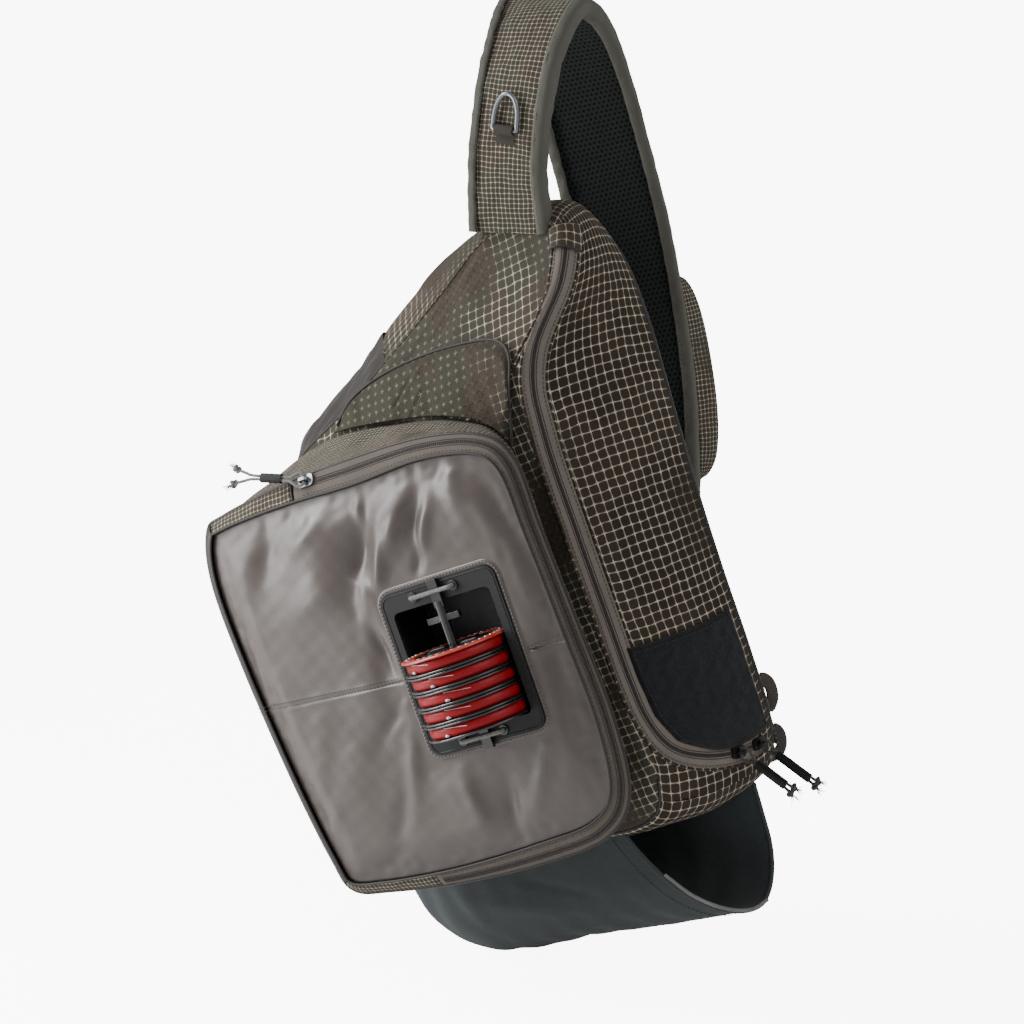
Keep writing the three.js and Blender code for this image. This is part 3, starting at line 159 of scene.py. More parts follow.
# outline of the front pocket: seam x and z, front x and z, width of the tape as a share
pocketOutline = np.array([
    [-0.362, 0.030, -0.398, 0.025, 1.0],
    [-0.391, 0.090, -0.434, 0.085, 1.0],
    [-0.413, 0.249, -0.478, 0.229, 1.0],
    [-0.428, 0.448, -0.520, 0.425, 1.0],
    [-0.431, 0.597, -0.535, 0.570, 1.0],
    [-0.422, 0.685, -0.506, 0.654, 1.0],
    [-0.378, 0.716, -0.446, 0.674, 1.0],
    [-0.217, 0.744, -0.254, 0.697, 1.5],
    [-0.036, 0.739, -0.058, 0.709, 1.9],
    [0.120, 0.721, 0.145, 0.712, 1.5],
    [0.217, 0.687, 0.300, 0.692, 1.3],
    [0.254, 0.622, 0.366, 0.642, 1.2],
    [0.268, 0.510, 0.380, 0.535, 1.0],
    [0.283, 0.373, 0.402, 0.388, 1.0],
    [0.304, 0.211, 0.424, 0.219, 1.0],
    [0.297, 0.090, 0.409, 0.100, 1.2],
    [0.217, 0.035, 0.326, 0.040, 1.5],
    [0.072, 0.022, 0.163, 0.017, 1.6],
    [-0.145, 0.020, -0.072, 0.007, 1.3],
    [-0.290, 0.022, -0.290, 0.012, 1.0],
])
pocketMiddle = dict(x=-0.045, z=0.355)
tapeRows = (7.15, 18.3)
# arch of the upper pocket from its left foot to its right foot
upperArch = np.array([
    [-0.205, 0.762], [-0.160, 0.797], [-0.080, 0.820], [0.030, 0.832], [0.140, 0.834], [0.245, 0.825],
    [0.288, 0.795], [0.282, 0.735], [0.268, 0.690],
])
# route of the strap: x, y, share of the bag's height, share of the rise, width, lean, yaw
strapRoute = np.array([
    [0.280, -0.58, 0.985, 0.000, 0.98, 0, 0],
    [0.322, -0.62, 1.000, 0.240, 0.92, -2, 0],
    [0.372, -0.60, 1.000, 0.500, 0.92, -6, 0],
    [0.418, -0.48, 1.000, 0.740, 0.96, -10, 0],
    [0.446, -0.20, 1.000, 0.930, 1.02, -15, 2],
    [0.434, 0.16, 1.000, 0.985, 1.06, -18, 6],
    [0.415, 0.48, 1.000, 0.860, 1.09, -18, 12],
    [0.385, 0.72, 1.000, 0.600, 1.12, -16, 18],
    [0.358, 0.88, 1.000, 0.240, 1.14, -14, 20],
    [0.339, 0.97, 0.945, 0.000, 1.14, -13, 20],
    [0.318, 1.00, 0.800, 0.000, 1.10, -12, 18],
    [0.300, 0.98, 0.660, 0.000, 1.02, -12, 12],
    [0.272, 0.90, 0.520, 0.000, 0.92, -12, 6],
    [0.255, 0.76, 0.410, 0.000, 0.80, -12, 0],
])
strapPocketRows = (9.7, 12.1)


def curveRows(rows, spot, closed=False):
    # rows between the rows a, b, c, d of a table: the cubic in t that passes through b and c with the
    # slopes of their neighbours
    rows, spot = np.asarray(rows, float), np.asarray(spot, float)
    count = len(rows)
    base = np.floor(spot).astype(int)
    if not closed:
        base = np.clip(base, 0, count - 2)
    t = (spot - base)[..., None]
    near = [base + k for k in (-1, 0, 1, 2)]
    a, b, c, d = (rows[k % count if closed else np.clip(k, 0, count - 1)] for k in near)
    return 0.5 * (2 * b + (c - a) * t + (2 * a - 5 * b + 4 * c - d) * t**2 + (3 * b - a - 3 * c + d) * t**3)


def smooth(x, low, high):
    # 0 below low, 1 above high, and 3 t squared - 2 t cubed between them
    t = np.clip((x - low) / (high - low), 0, 1)
    return t * t * (3 - 2 * t)


def mix(a, b, t):
    # a + (b - a) * t
    return a + (b - a) * t


def unit(v):
    # v / length of v
    return v / np.maximum(np.linalg.norm(v, axis=-1, keepdims=True), 1e-9)


def ripples(x, y, length, seed, count=8):
    # sum of sines in random directions, between about -1 and 1, of about one wave length in millimetres
    rng = np.random.default_rng(seed)
    total = np.zeros(np.broadcast(x, y).shape)
    for _ in range(count):
        angle, stretch, phase = rng.uniform(0, math.tau), rng.uniform(0.6, 1.7), rng.uniform(0, math.tau)
        k = math.tau / (length * stretch)
        total = total + np.sin(k * (x * math.cos(angle) + y * math.sin(angle)) + phase)
    return total / math.sqrt(count)


def folds(x, z, rows):
    # sum of height * exp(-along squared - over squared): rows give the middle x and z, the turn in
    # degrees, half length, half width and height, in millimetres
    total = np.zeros(np.broadcast(x, z).shape)
    for cx, cz, turn, length, width, height in rows:
        c, s = math.cos(math.radians(turn)), math.sin(math.radians(turn))
        along = ((x - cx) * c + (z - cz) * s) / length
        over = ((z - cz) * c - (x - cx) * s) / width
        total = total + height * np.exp(-along**2 - over**2)
    return total


def gridNormals(points, inside, wrap=False):
    # normals of a grid of points, away from a point inside
    if wrap:
        du = np.roll(points, -1, 0) - np.roll(points, 1, 0)
    else:
        du = np.gradient(points, axis=0)
    dv = np.gradient(points, axis=1)
    normal = unit(np.cross(du, dv))
    if np.sum(normal * (points - np.asarray(inside, float))) < 0:
        normal = -normal
    return normal


def twoWays(a, b):
    # a along the rows and b along the columns of one grid
    return np.meshgrid(a, b, indexing="ij")


def lengthAlong(points, axis):
    # length run along a grid's lines, averaged over the other direction
    step = np.linalg.norm(np.diff(points, axis=axis), axis=-1).mean(axis=1 - axis)
    return np.concatenate([[0], np.cumsum(step)])


def addObject(name, mesh, material, body):
    # object of a mesh with its material, riding on a body
    mesh.materials.append(material)
    made = bpy.data.objects.new(name, mesh)
    bpy.context.scene.collection.objects.link(made)
    if body:
        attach(made, body)
    return made


def meshFrom(name, points, faces, uv):
    # smooth mesh from points in millimetres, with uv given for each point
    mesh = bpy.data.meshes.new(name)
    mesh.from_pydata(place(points.reshape(-1, 3)).tolist(), [], faces)
    corners = np.zeros(len(mesh.loops), int)
    mesh.loops.foreach_get("vertex_index", corners)
    layer = mesh.uv_layers.new(name="UVMap")
    layer.data.foreach_set("uv", uv.reshape(-1, 2)[corners].ravel())
    mesh.polygons.foreach_set("use_smooth", np.ones(len(mesh.polygons), bool))
    mesh.update()
    return mesh


def gridFaces(nu, nv, wrap=False):
    # the four corners (i, j), (i + 1, j), (i + 1, j + 1), (i, j + 1) of each cell of a grid
    i, j = twoWays(np.arange(nu if wrap else nu - 1), np.arange(nv - 1))
    a, b = i * nv + j, ((i + 1) % nu) * nv + j
    return np.stack([a, b, b + 1, a + 1], -1).reshape(-1, 4)


def thicken(made, millimetres, offset=-1):
    # wall inwards at -1, and half to each side at 0
    layer = made.modifiers.new("thickness", "SOLIDIFY")
    layer.thickness, layer.offset = millimetres / 1000, offset


def gridPiece(name, points, material, inside, body="bag", uv=None, wrap=False, thick=0, keep=None):
    # a cloth piece from a grid of points, facing away from a point inside; keep drops faces by a mask
    nu, nv = points.shape[:2]
    if uv is None:
        u, v = twoWays(lengthAlong(points, 0), lengthAlong(points, 1))
        uv = np.stack([u, v], -1)
    faces = gridFaces(nu, nv, wrap)
    if keep is not None:
        faces = faces[keep.reshape(-1)[faces].all(axis=1)]
    flat = points.reshape(-1, 3)
    normal = np.cross(flat[faces[:, 2]] - flat[faces[:, 0]], flat[faces[:, 3]] - flat[faces[:, 1]])
    if np.sum(normal * (flat[faces[:, 0]] - np.asarray(inside, float))) < 0:
        faces = faces[:, ::-1]
    made = addObject(name, meshFrom(name, points, faces.tolist(), uv / 100), material, body)
    if thick:
        thicken(made, thick)
    return made


def transportFrames(path):
    # two directions across a path at each of its points, without twist
    run = unit(np.gradient(path, axis=0))
    first = np.cross(run[0], [0.3, 0.2, 1])
    if np.linalg.norm(first) < 0.1:
        first = np.cross(run[0], [1, 0, 0])
    sides = [first / np.linalg.norm(first)]
    for r in run[1:]:
        side = sides[-1] - r * np.dot(sides[-1], r)
        sides.append(side / np.linalg.norm(side))
    sides = np.array(sides)
    return sides, np.cross(run, sides)


def tubeData(path, radius, sides=10, flat=1.0):
    # round tube with closed ends: path + (first * cos + second * sin) * radius, which may change
    path = np.asarray(path, float)
    n = len(path)
    radius = np.broadcast_to(np.asarray(radius, float), (n,))
    first, second = transportFrames(path)
    angle = np.linspace(0, math.tau, sides, endpoint=False)
    c, s = np.cos(angle)[None, :, None], np.sin(angle)[None, :, None]
    ring = first[:, None] * c + flat * second[:, None] * s
    points = path[:, None] + ring * radius[:, None, None]
    along = np.concatenate([[0], np.cumsum(np.linalg.norm(np.diff(path, axis=0), axis=1))])
    uv = np.stack(twoWays(along, np.arange(sides) / sides * 10), -1) / 100
    index = np.arange(n * sides).reshape(n, sides)
    right = np.roll(index, -1, axis=1)
    faces = np.stack([index[:-1], right[:-1], right[1:], index[1:]], -1).reshape(-1, 4).tolist()
    faces += [index[0, ::-1].tolist(), index[-1].tolist()]
    return points.reshape(-1, 3), faces, uv.reshape(-1, 2)


def joined(parts):
    # several lots of points, faces and uv as one
    points, faces, uv, start = [], [], [], 0
    for p, f, w in parts:
        points.append(p)
        uv.append(w)
        faces += [[k + start for k in face] for face in f]
        start += len(p)
    return np.concatenate(points), faces, np.concatenate(uv)


def meshPiece(name, parts, material, body="bag"):
    # one object of several lots of points, faces and uv
    return addObject(name, meshFrom(name, *joined(parts)), material, body)


def curveThrough(points, count):
    # the smooth curve through a few points, at count even steps of their numbers
    points = np.asarray(points, float)
    return curveRows(points, np.linspace(0, len(points) - 1, count))


def evenly(path, spacing):
    # points along a path at an even spacing, with the index at which each lies
    along = np.concatenate([[0], np.cumsum(np.linalg.norm(np.diff(path, axis=0), axis=1))])
    count = max(2, int(along[-1] / spacing))
    want = (np.arange(count) + 0.5) * along[-1] / count
    at = np.interp(want, along, np.arange(len(path)))
    return np.stack([np.interp(want, along, path[:, k]) for k in range(3)], -1), at


def stitchRow(path, normals, pitch=3.2, length=2.2, radius=0.32, lift=0.15):
    # stitches as spindles of four rings of five points: middle + out * lift + run * length * share
    # + ring * radius * size
    path, normals = np.asarray(path, float), np.asarray(normals, float)
    spots, at = evenly(path, pitch)
    steps = np.arange(len(path))
    slope = np.gradient(path, axis=0)
    run = unit(np.stack([np.interp(at, steps, slope[:, k]) for k in range(3)], -1))
    out = unit(np.stack([np.interp(at, steps, normals[:, k]) for k in range(3)], -1))
    side = unit(np.cross(run, out))
    share = np.array([-0.5, -0.36, 0.36, 0.5])[None, :, None, None]
    size = np.array([0.35, 1, 1, 0.35])[None, :, None, None]
    angle = np.linspace(0, math.tau, 5, endpoint=False)[None, None, :, None]
    run, out, side, spots = (v[:, None, None, :] for v in (run, out, side, spots))
    ring = np.cos(angle) * side + np.sin(angle) * out
    points = spots + out * lift + run * length * share + ring * radius * size
    count = len(points)
    index = np.arange(count * 20).reshape(count, 4, 5)
    right = np.roll(index, -1, axis=2)
    faces = np.stack([index[:, :-1], right[:, :-1], right[:, 1:], index[:, 1:]], -1).reshape(-1, 4).tolist()
    faces += index[:, 0, ::-1].tolist() + index[:, 3].tolist()
    return points.reshape(-1, 3), faces, np.zeros((count * 20, 2))


# materials, in millimetres through UV maps of 100 mm a unit, or through object coordinates for hard pieces
def makeGroup(name, inputs, outputs):
    # shader group with named inputs and outputs
    tree = bpy.data.node_groups.new(name, "ShaderNodeTree")
    for label, kind, value in inputs:
        socket = tree.interface.new_socket(label, in_out="INPUT", socket_type=kind)
        if value is not None:
            socket.default_value = value
    for label, kind in outputs:
        tree.interface.new_socket(label, in_out="OUTPUT", socket_type=kind)
    return tree, tree.nodes.new("NodeGroupInput").outputs, tree.nodes.new("NodeGroupOutput").inputs


def setInput(tree, socket, value):
    # link or plain value
    if isinstance(value, bpy.types.NodeSocket):
        tree.links.new(value, socket)
    else:
        socket.default_value = value


def calc(tree, operation, *values, clamp=False):
    # one sum of two numbers
    node = tree.nodes.new("ShaderNodeMath")
    node.operation, node.use_clamp = operation, clamp
    for k, value in enumerate(values):
        setInput(tree, node.inputs[k], value)
    return node.outputs[0]


def ramp(tree, value, low, high, start=0.0, end=1.0):
    # soft step from start, where value is low, to end, where it is high
    node = tree.nodes.new("ShaderNodeMapRange")
    node.interpolation_type = "SMOOTHSTEP"
    for k, entry in enumerate((value, low, high, start, end)):
        setInput(tree, node.inputs[k], entry)
    return node.outputs[0]


def mixColour(tree, factor, a, b):
    # a + (b - a) * factor, for colours
    node = tree.nodes.new("ShaderNodeMix")
    node.data_type = "RGBA"
    for k, value in ((0, factor), (6, a), (7, b)):
        setInput(tree, node.inputs[k], value)
    return node.outputs[2]


def noise(tree, vector, scale, detail=2.0, roughness=0.5, output=0):
    # cloudy value, or colour at output 1
    node = tree.nodes.new("ShaderNodeTexNoise")
    for label, value in (
        ("Vector", vector), ("Scale", scale), ("Detail", detail), ("Roughness", roughness),
    ):
        setInput(tree, node.inputs[label], value)
    return node.outputs[output]


def vectorMath(tree, operation, a, b=None, scale=None):
    # one sum of two vectors, or of a vector and a scale
    node = tree.nodes.new("ShaderNodeVectorMath")
    node.operation = operation
    setInput(tree, node.inputs[0], a)
    if b is not None:
        setInput(tree, node.inputs[1], b)
    if scale is not None:
        setInput(tree, node.inputs["Scale"], scale)
    return node.outputs[0]


def split(tree, vector):
    # x, y and z
    node = tree.nodes.new("ShaderNodeSeparateXYZ")
    tree.links.new(vector, node.inputs[0])
    return node.outputs


def ripGridGroup():
    # thread lines where the place in a cell is near its border, crossings where both are; soft patches
    # switch the ground between brown and olive and the threads between cream, faint and dark
    tree, given, out = makeGroup(
        "rip grid",
        [
            ("Vector", "NodeSocketVector", None), ("Cells", "NodeSocketFloat", 17.0),
            ("Brown", "NodeSocketColor", None),
            ("Olive", "NodeSocketColor", None), ("Thread", "NodeSocketColor", None),
            ("Patches", "NodeSocketFloat", 1.6),
            ("Bright", "NodeSocketFloat", 0.5), ("Shift", "NodeSocketFloat", 0.0),
        ],
        [("Color", "NodeSocketColor"), ("Height", "NodeSocketFloat"), ("Lines", "NodeSocketFloat")],
    )
    wave = vectorMath(tree, "SUBTRACT", noise(tree, given["Vector"], 7.0, 1.0, output=1), (0.5, 0.5, 0.5))
    bent = vectorMath(tree, "ADD", given["Vector"], vectorMath(tree, "SCALE", wave, scale=0.022))
    cells = vectorMath(tree, "SCALE", bent, scale=given["Cells"])
    x, y, _ = split(tree, vectorMath(tree, "FRACTION", cells))
    fine, wide = [], []
    for value in (x, y):
        edge = calc(tree, "ABSOLUTE", calc(tree, "SUBTRACT", value, 0.5))
        fine.append(ramp(tree, edge, 0.405, 0.475))
        wide.append(ramp(tree, edge, 0.12, 0.43))
    line = calc(tree, "MAXIMUM", fine[0], fine[1])
    cross = calc(
        tree, "MAXIMUM", calc(tree, "MULTIPLY", fine[0], wide[1]),
        calc(tree, "MULTIPLY", fine[1], wide[0]),
    )
    moved = vectorMath(
        tree, "ADD", given["Vector"], vectorMath(tree, "SCALE", (3.1, 1.7, 0.4), scale=given["Shift"]),
    )
    patch = ramp(tree, noise(tree, moved, given["Patches"], 2.5), 0.47, 0.54)
    other = vectorMath(tree, "ADD", moved, (5.3, 2.9, 1.0))
    level = calc(
        tree, "ADD", noise(tree, other, calc(tree, "MULTIPLY", given["Patches"], 0.85), 2.0),
        given["Bright"],
    )
    bright = ramp(tree, level, 0.92, 1.08)
    weave = noise(tree, given["Vector"], 140.0, 2.0)
    ground = mixColour(tree, patch, given["Brown"], given["Olive"])
    darker = calc(tree, "MULTIPLY", line, calc(tree, "SUBTRACT", 0.5, calc(tree, "MULTIPLY", patch, 0.38)))
    ground = mixColour(tree, darker, ground, (0.012, 0.010, 0.008, 1))
    ground = mixColour(tree, ramp(tree, weave, 0.3, 0.75, 0.0, 0.35), ground, (0.0, 0.0, 0.0, 1))
    weak = calc(tree, "MULTIPLY", cross, calc(tree, "ADD", 0.08, calc(tree, "MULTIPLY", patch, 0.18)))
    strong = calc(tree, "ADD", calc(tree, "MULTIPLY", cross, 0.58), calc(tree, "MULTIPLY", line, 0.42))
    node = tree.nodes.new("ShaderNodeMix")
    for k, value in ((0, bright), (2, weak), (3, strong)):
        setInput(tree, node.inputs[k], value)
    uneven = ramp(tree, noise(tree, bent, 24.0, 2.0), 0.3, 0.7, 0.65, 1.0)
    threads = calc(tree, "MULTIPLY", node.outputs[0], uneven, clamp=True)
    tree.links.new(mixColour(tree, threads, ground, given["Thread"]), out["Color"])
    tree.links.new(calc(tree, "ADD", line, calc(tree, "MULTIPLY", weave, 0.4)), out["Height"])
    tree.links.new(line, out["Lines"])
    return tree


def twillGroup():
    # fine ribs that run slantwise, with painted shade darkening the grooves between them, and uneven fibres
    tree, given, out = makeGroup(
        "twill",
        [
            ("Vector", "NodeSocketVector", None), ("Color", "NodeSocketColor", None),
            ("Ribs", "NodeSocketFloat", 90.0),
            ("Slant", "NodeSocketFloat", 0.6), ("Depth", "NodeSocketFloat", 0.45),
        ],
        [("Color", "NodeSocketColor"), ("Height", "NodeSocketFloat")],
    )
    x, y, _ = split(tree, given["Vector"])
    place = calc(
        tree, "MULTIPLY", calc(tree, "ADD", x, calc(tree, "MULTIPLY", y, given["Slant"])), given["Ribs"],
    )
    rib = calc(tree, "ABSOLUTE", calc(tree, "SUBTRACT", calc(tree, "FRACT", place), 0.5))
    rib = ramp(tree, rib, 0.05, 0.42)
    fibre = noise(tree, given["Vector"], 160.0, 2.0)
    # painted shade: the grooves between the ribs are darkened towards near black
    dark = calc(
        tree, "MULTIPLY", calc(tree, "MULTIPLY", rib, given["Depth"]),
        ramp(tree, fibre, 0.2, 0.7, 0.5, 1.1),
    )
    soil = ramp(tree, noise(tree, given["Vector"], 3.0, 3.0), 0.35, 0.75, 0.0, 0.16)
    colour = mixColour(tree, dark, given["Color"], (0.01, 0.009, 0.008, 1))
    tree.links.new(mixColour(tree, soil, colour, (0.02, 0.017, 0.014, 1)), out["Color"])
    tree.links.new(calc(tree, "SUBTRACT", 1.0, rib), out["Height"])
    return tree


def unevenGroup():
    # a surface's colour and gloss, broken by soft cloudy wear and a fine grain
    tree, given, out = makeGroup(
        "uneven finish",
        [
            ("Vector", "NodeSocketVector", None), ("Color", "NodeSocketColor", None),
            ("Worn", "NodeSocketColor", None),
            ("Scale", "NodeSocketFloat", 2.0), ("Grain", "NodeSocketFloat", 120.0),
            ("Gloss", "NodeSocketFloat", 0.4),
        ],
        [("Color", "NodeSocketColor"), ("Roughness", "NodeSocketFloat"), ("Height", "NodeSocketFloat")],
    )
    cloud = ramp(tree, noise(tree, given["Vector"], given["Scale"], 4.0), 0.35, 0.7)
    grain = noise(tree, given["Vector"], given["Grain"], 2.0)
    colour = mixColour(tree, calc(tree, "MULTIPLY", cloud, 0.45), given["Color"], given["Worn"])
    tree.links.new(
        mixColour(tree, ramp(tree, grain, 0.45, 0.8, 0.0, 0.12), colour, given["Worn"]), out["Color"],
    )
    rough = calc(tree, "ADD", given["Gloss"], ramp(tree, cloud, 0.0, 1.0, -0.04, 0.09))
    tree.links.new(calc(tree, "ADD", rough, ramp(tree, grain, 0.3, 0.7, -0.03, 0.04)), out["Roughness"])
    tree.links.new(calc(tree, "ADD", grain, calc(tree, "MULTIPLY", cloud, 0.5)), out["Height"])
    return tree


def spacerGroup():
    # rows of round holes in staggered order, with painted shade in them
    tree, given, out = makeGroup(
        "spacer mesh",
        [
            ("Vector", "NodeSocketVector", None), ("Color", "NodeSocketColor", None),
            ("Holes", "NodeSocketFloat", 32.0),
        ],
        [("Color", "NodeSocketColor"), ("Height", "NodeSocketFloat")],
    )
    x, y, _ = split(tree, vectorMath(tree, "SCALE", given["Vector"], scale=given["Holes"]))
    odd = calc(tree, "MULTIPLY", calc(tree, "FLOORED_MODULO", calc(tree, "FLOOR", y), 2.0), 0.5)
    dx = calc(tree, "SUBTRACT", calc(tree, "FRACT", calc(tree, "ADD", x, odd)), 0.5)
    dy = calc(tree, "SUBTRACT", calc(tree, "FRACT", y), 0.5)
    square = calc(tree, "ADD", calc(tree, "MULTIPLY", dx, dx), calc(tree, "MULTIPLY", dy, dy))
    hole = ramp(tree, calc(tree, "SQRT", square), 0.38, 0.22)
    yarn = ramp(tree, noise(tree, given["Vector"], 120.0, 2.0), 0.3, 0.75, 0.0, 0.4)
    colour = mixColour(tree, yarn, given["Color"], (0.004, 0.005, 0.005, 1))
    # painted shade: the holes are darkened nearly to black
    tree.links.new(
        mixColour(tree, calc(tree, "MULTIPLY", hole, 0.93), colour, (0.0015, 0.002, 0.002, 1)),
        out["Color"],
    )
    tree.links.new(calc(tree, "SUBTRACT", 1.0, hole), out["Height"])
    return tree


def fuzzGroup():
    # short pile: fine light fibres over a dark ground, in soft tufts
    tree, given, out = makeGroup(
        "short pile",
        [
            ("Vector", "NodeSocketVector", None), ("Color", "NodeSocketColor", None),
            ("Fibre", "NodeSocketColor", None),
            ("Fineness", "NodeSocketFloat", 110.0),
        ],
        [("Color", "NodeSocketColor"), ("Height", "NodeSocketFloat")],
    )
    tuft = noise(tree, given["Vector"], calc(tree, "MULTIPLY", given["Fineness"], 0.16), 4.0, 0.65)
    fibre = noise(tree, given["Vector"], given["Fineness"], 3.0, 0.7)
    light = calc(tree, "MULTIPLY", ramp(tree, fibre, 0.48, 0.72), ramp(tree, tuft, 0.35, 0.65, 0.15, 0.9))
    tree.links.new(mixColour(tree, light, given["Color"], given["Fibre"]), out["Color"])
    tree.links.new(calc(tree, "ADD", fibre, tuft), out["Height"])
    return tree


groups = dict(
    rip=ripGridGroup(), twill=twillGroup(), uneven=unevenGroup(), spacer=spacerGroup(), fuzz=fuzzGroup(),
)


def finishOf(name, group, coordinates="UV", bump=0.0, bumpDepth=0.0002, values=None, **shader):
    # material with one of the effect groups feeding a Principled shader: values are the group's sockets,
    # with colours as red, green and blue, and shader holds the shader's own sockets
    material = bpy.data.materials.new(name)
    material.use_nodes = True
    tree = material.node_tree
    surface = tree.nodes["Principled BSDF"]
    for label, value in shader.items():
        surface.inputs[label.replace("_", " ")].default_value = value
    effect = tree.nodes.new("ShaderNodeGroup")
    effect.node_tree = groups[group]
    spot = tree.nodes.new("ShaderNodeTexCoord").outputs[coordinates]
    if coordinates == "Object":
        spot = vectorMath(tree, "SCALE", spot, scale=10.0)
    tree.links.new(spot, effect.inputs["Vector"])
    for label, value in (values or {}).items():
        effect.inputs[label].default_value = (*value, 1) if isinstance(value, tuple) else value
    tree.links.new(effect.outputs["Color"], surface.inputs["Base Color"])
    if "Roughness" in effect.outputs and "Roughness" not in shader:
        tree.links.new(effect.outputs["Roughness"], surface.inputs["Roughness"])
    if bump:
        relief = tree.nodes.new("ShaderNodeBump")
        relief.inputs["Strength"].default_value = bump
        relief.inputs["Distance"].default_value = bumpDepth
        tree.links.new(effect.outputs["Height"], relief.inputs["Height"])
        tree.links.new(relief.outputs[0], surface.inputs["Normal"])
    return material


def unevenFinish(name, colour, worn, scale, grain, gloss, coordinates="UV", **shader):
    values = dict(Color=colour, Worn=worn, Scale=scale, Grain=grain, Gloss=gloss)
    return finishOf(name, "uneven", coordinates, values=values, **shader)


def twillFinish(name, colour, ribs, slant, depth, **shader):
    # depth sets the strength of the painted shade between the ribs
    values = dict(Color=colour, Ribs=ribs, Slant=slant, Depth=depth)
    return finishOf(name, "twill", values=values, **shader)


cream = (0.50, 0.44, 0.345)
clothGround = ((0.050, 0.038, 0.028), (0.043, 0.041, 0.029))
sideGround = ((0.028, 0.019, 0.0135), (0.036, 0.026, 0.0185))


def ripFinish(name, cells, grounds, patches, bright, shift, **shader):
    values = dict(
        Cells=cells, Brown=grounds[0], Olive=grounds[1], Thread=cream, Patches=patches, Bright=bright,
        Shift=shift,
    )
    return finishOf(
        name, "rip", bump=0.5, bumpDepth=0.0003, values=values, Roughness=0.8, **shader,
    )


# rip cloth by cells to 100 mm, grounds, patches, share of bright threads and shift of the patches
ripstop = ripFinish(
    "ripstop cloth", 17.2, clothGround, 1.5, 0.49, 1, Specular_IOR_Level=0.16, Sheen_Weight=0.04,
)
ripstopFaint = ripFinish(
    "ripstop cloth, few light threads", 17.2, clothGround, 1.5, 0.37, 1, Specular_IOR_Level=0.16,
)
ripstopSide = ripFinish(
    "ripstop cloth of the side", 15.6, sideGround, 1.2, 0.62, 2, Specular_IOR_Level=0.14,
    Sheen_Weight=0.03,
)
ripstopFine = ripFinish(
    "ripstop cloth, fine grid", 31, clothGround, 2.2, 0.66, 3, Specular_IOR_Level=0.16, Sheen_Weight=0.04,
)
# uneven finishes by colour, worn colour, scale of the wear, fineness of the grain and gloss; twills by
# colour, ribs, slant and strength of the painted shade between the ribs
coated = unevenFinish(
    "coated cloth", (0.066, 0.053, 0.048), (0.084, 0.070, 0.065), 1.4, 150, 0.39, bump=0.25,
    bumpDepth=0.0002, Specular_IOR_Level=0.5,
)
darkCoated = unevenFinish(
    "dark coated cloth", (0.020, 0.017, 0.015), (0.034, 0.030, 0.027), 2.4, 150, 0.44, bump=0.25,
    bumpDepth=0.0002, Specular_IOR_Level=0.3,
)
zipTwill = twillFinish(
    "zip tape", (0.128, 0.108, 0.093), 95, 0.7, 0.42, bump=0.6, bumpDepth=0.0003, Roughness=0.85,
    Specular_IOR_Level=0.15, Sheen_Weight=0.05,
)
mainTwill = twillFinish(
    "main zip tape", (0.205, 0.176, 0.152), 95, 0.7, 0.42, bump=0.6, bumpDepth=0.0003, Roughness=0.85,
    Specular_IOR_Level=0.15, Sheen_Weight=0.05,
)
coilTaupe = unevenFinish(
    "taupe zip coil", (0.020, 0.016, 0.014), (0.040, 0.034, 0.030), 12, 200, 0.55, bump=0.2,
    Specular_IOR_Level=0.25,
)
webTaupe = twillFinish(
    "taupe webbing", (0.072, 0.062, 0.053), 60, 0, 0.55, bump=0.8, bumpDepth=0.0004, Roughness=0.88,
    Specular_IOR_Level=0.15, Sheen_Weight=0.05,
)
bindingCloth = twillFinish(
    "binding tape", (0.105, 0.104, 0.086), 80, 1, 0.5, bump=0.7, bumpDepth=0.0003, Roughness=0.88,
    Specular_IOR_Level=0.15, Sheen_Weight=0.06,
)
spacer = finishOf(
    "spacer mesh", "spacer", bump=1.0, bumpDepth=0.0009, Roughness=0.85, Specular_IOR_Level=0.12,
    Sheen_Weight=0.03,
    values=dict(Color=(0.019, 0.022, 0.0215), Holes=30.0),
)
fleece = finishOf(
    "charcoal fleece", "fuzz", bump=1.0, bumpDepth=0.0008, Roughness=0.95, Specular_IOR_Level=0.1,
    Sheen_Weight=0.12, Sheen_Roughness=0.5,
    values=dict(Color=(0.008, 0.009, 0.011), Fibre=(0.048, 0.051, 0.057), Fineness=150.0),
)
stretch = finishOf(
    "stretch cloth", "fuzz", bump=0.35, bumpDepth=0.0003, Roughness=0.8, Specular_IOR_Level=0.2,
    Sheen_Weight=0.08,
    values=dict(Color=(0.036, 0.042, 0.044), Fibre=(0.060, 0.067, 0.070), Fineness=150.0),
)
rubber = unevenFinish(
    "dock rubber", (0.0065, 0.007, 0.0075), (0.012, 0.013, 0.0135), 3, 140, 0.5, "Object", bump=0.3,
    bumpDepth=0.0002, Specular_IOR_Level=0.3,
)
recessBlack = unevenFinish(
    "tray black", (0.004, 0.004, 0.005), (0.009, 0.009, 0.010), 3, 140, 0.5, "Object", bump=0.3,
    bumpDepth=0.0002,
)
glossBlack = unevenFinish(
    "glossy black plastic", (0.005, 0.005, 0.005), (0.014, 0.014, 0.014), 4, 160, 0.26, "Object", bump=0.1,
    bumpDepth=0.0001, Coat_Weight=0.5, Coat_Roughness=0.12,
)
satinBlack = unevenFinish(
    "satin black plastic", (0.005, 0.005, 0.005), (0.012, 0.012, 0.012), 4, 160, 0.38, "Object", bump=0.2,
    bumpDepth=0.0001, Specular_IOR_Level=0.22,
)
redElastic = twillFinish(
    "red band", (0.30, 0.002, 0.007), 70, 0, 0.12, bump=0.25, bumpDepth=0.0002, Roughness=0.42,
    Specular_IOR_Level=0.2, Coat_Weight=0.12, Coat_Roughness=0.2,
)
rimOrange = unevenFinish(
    "printed rim", (0.42, 0.026, 0.012), (0.5, 0.10, 0.06), 9, 160, 0.3, "Object", bump=0.1,
    Coat_Weight=0.5, Coat_Roughness=0.15,
)
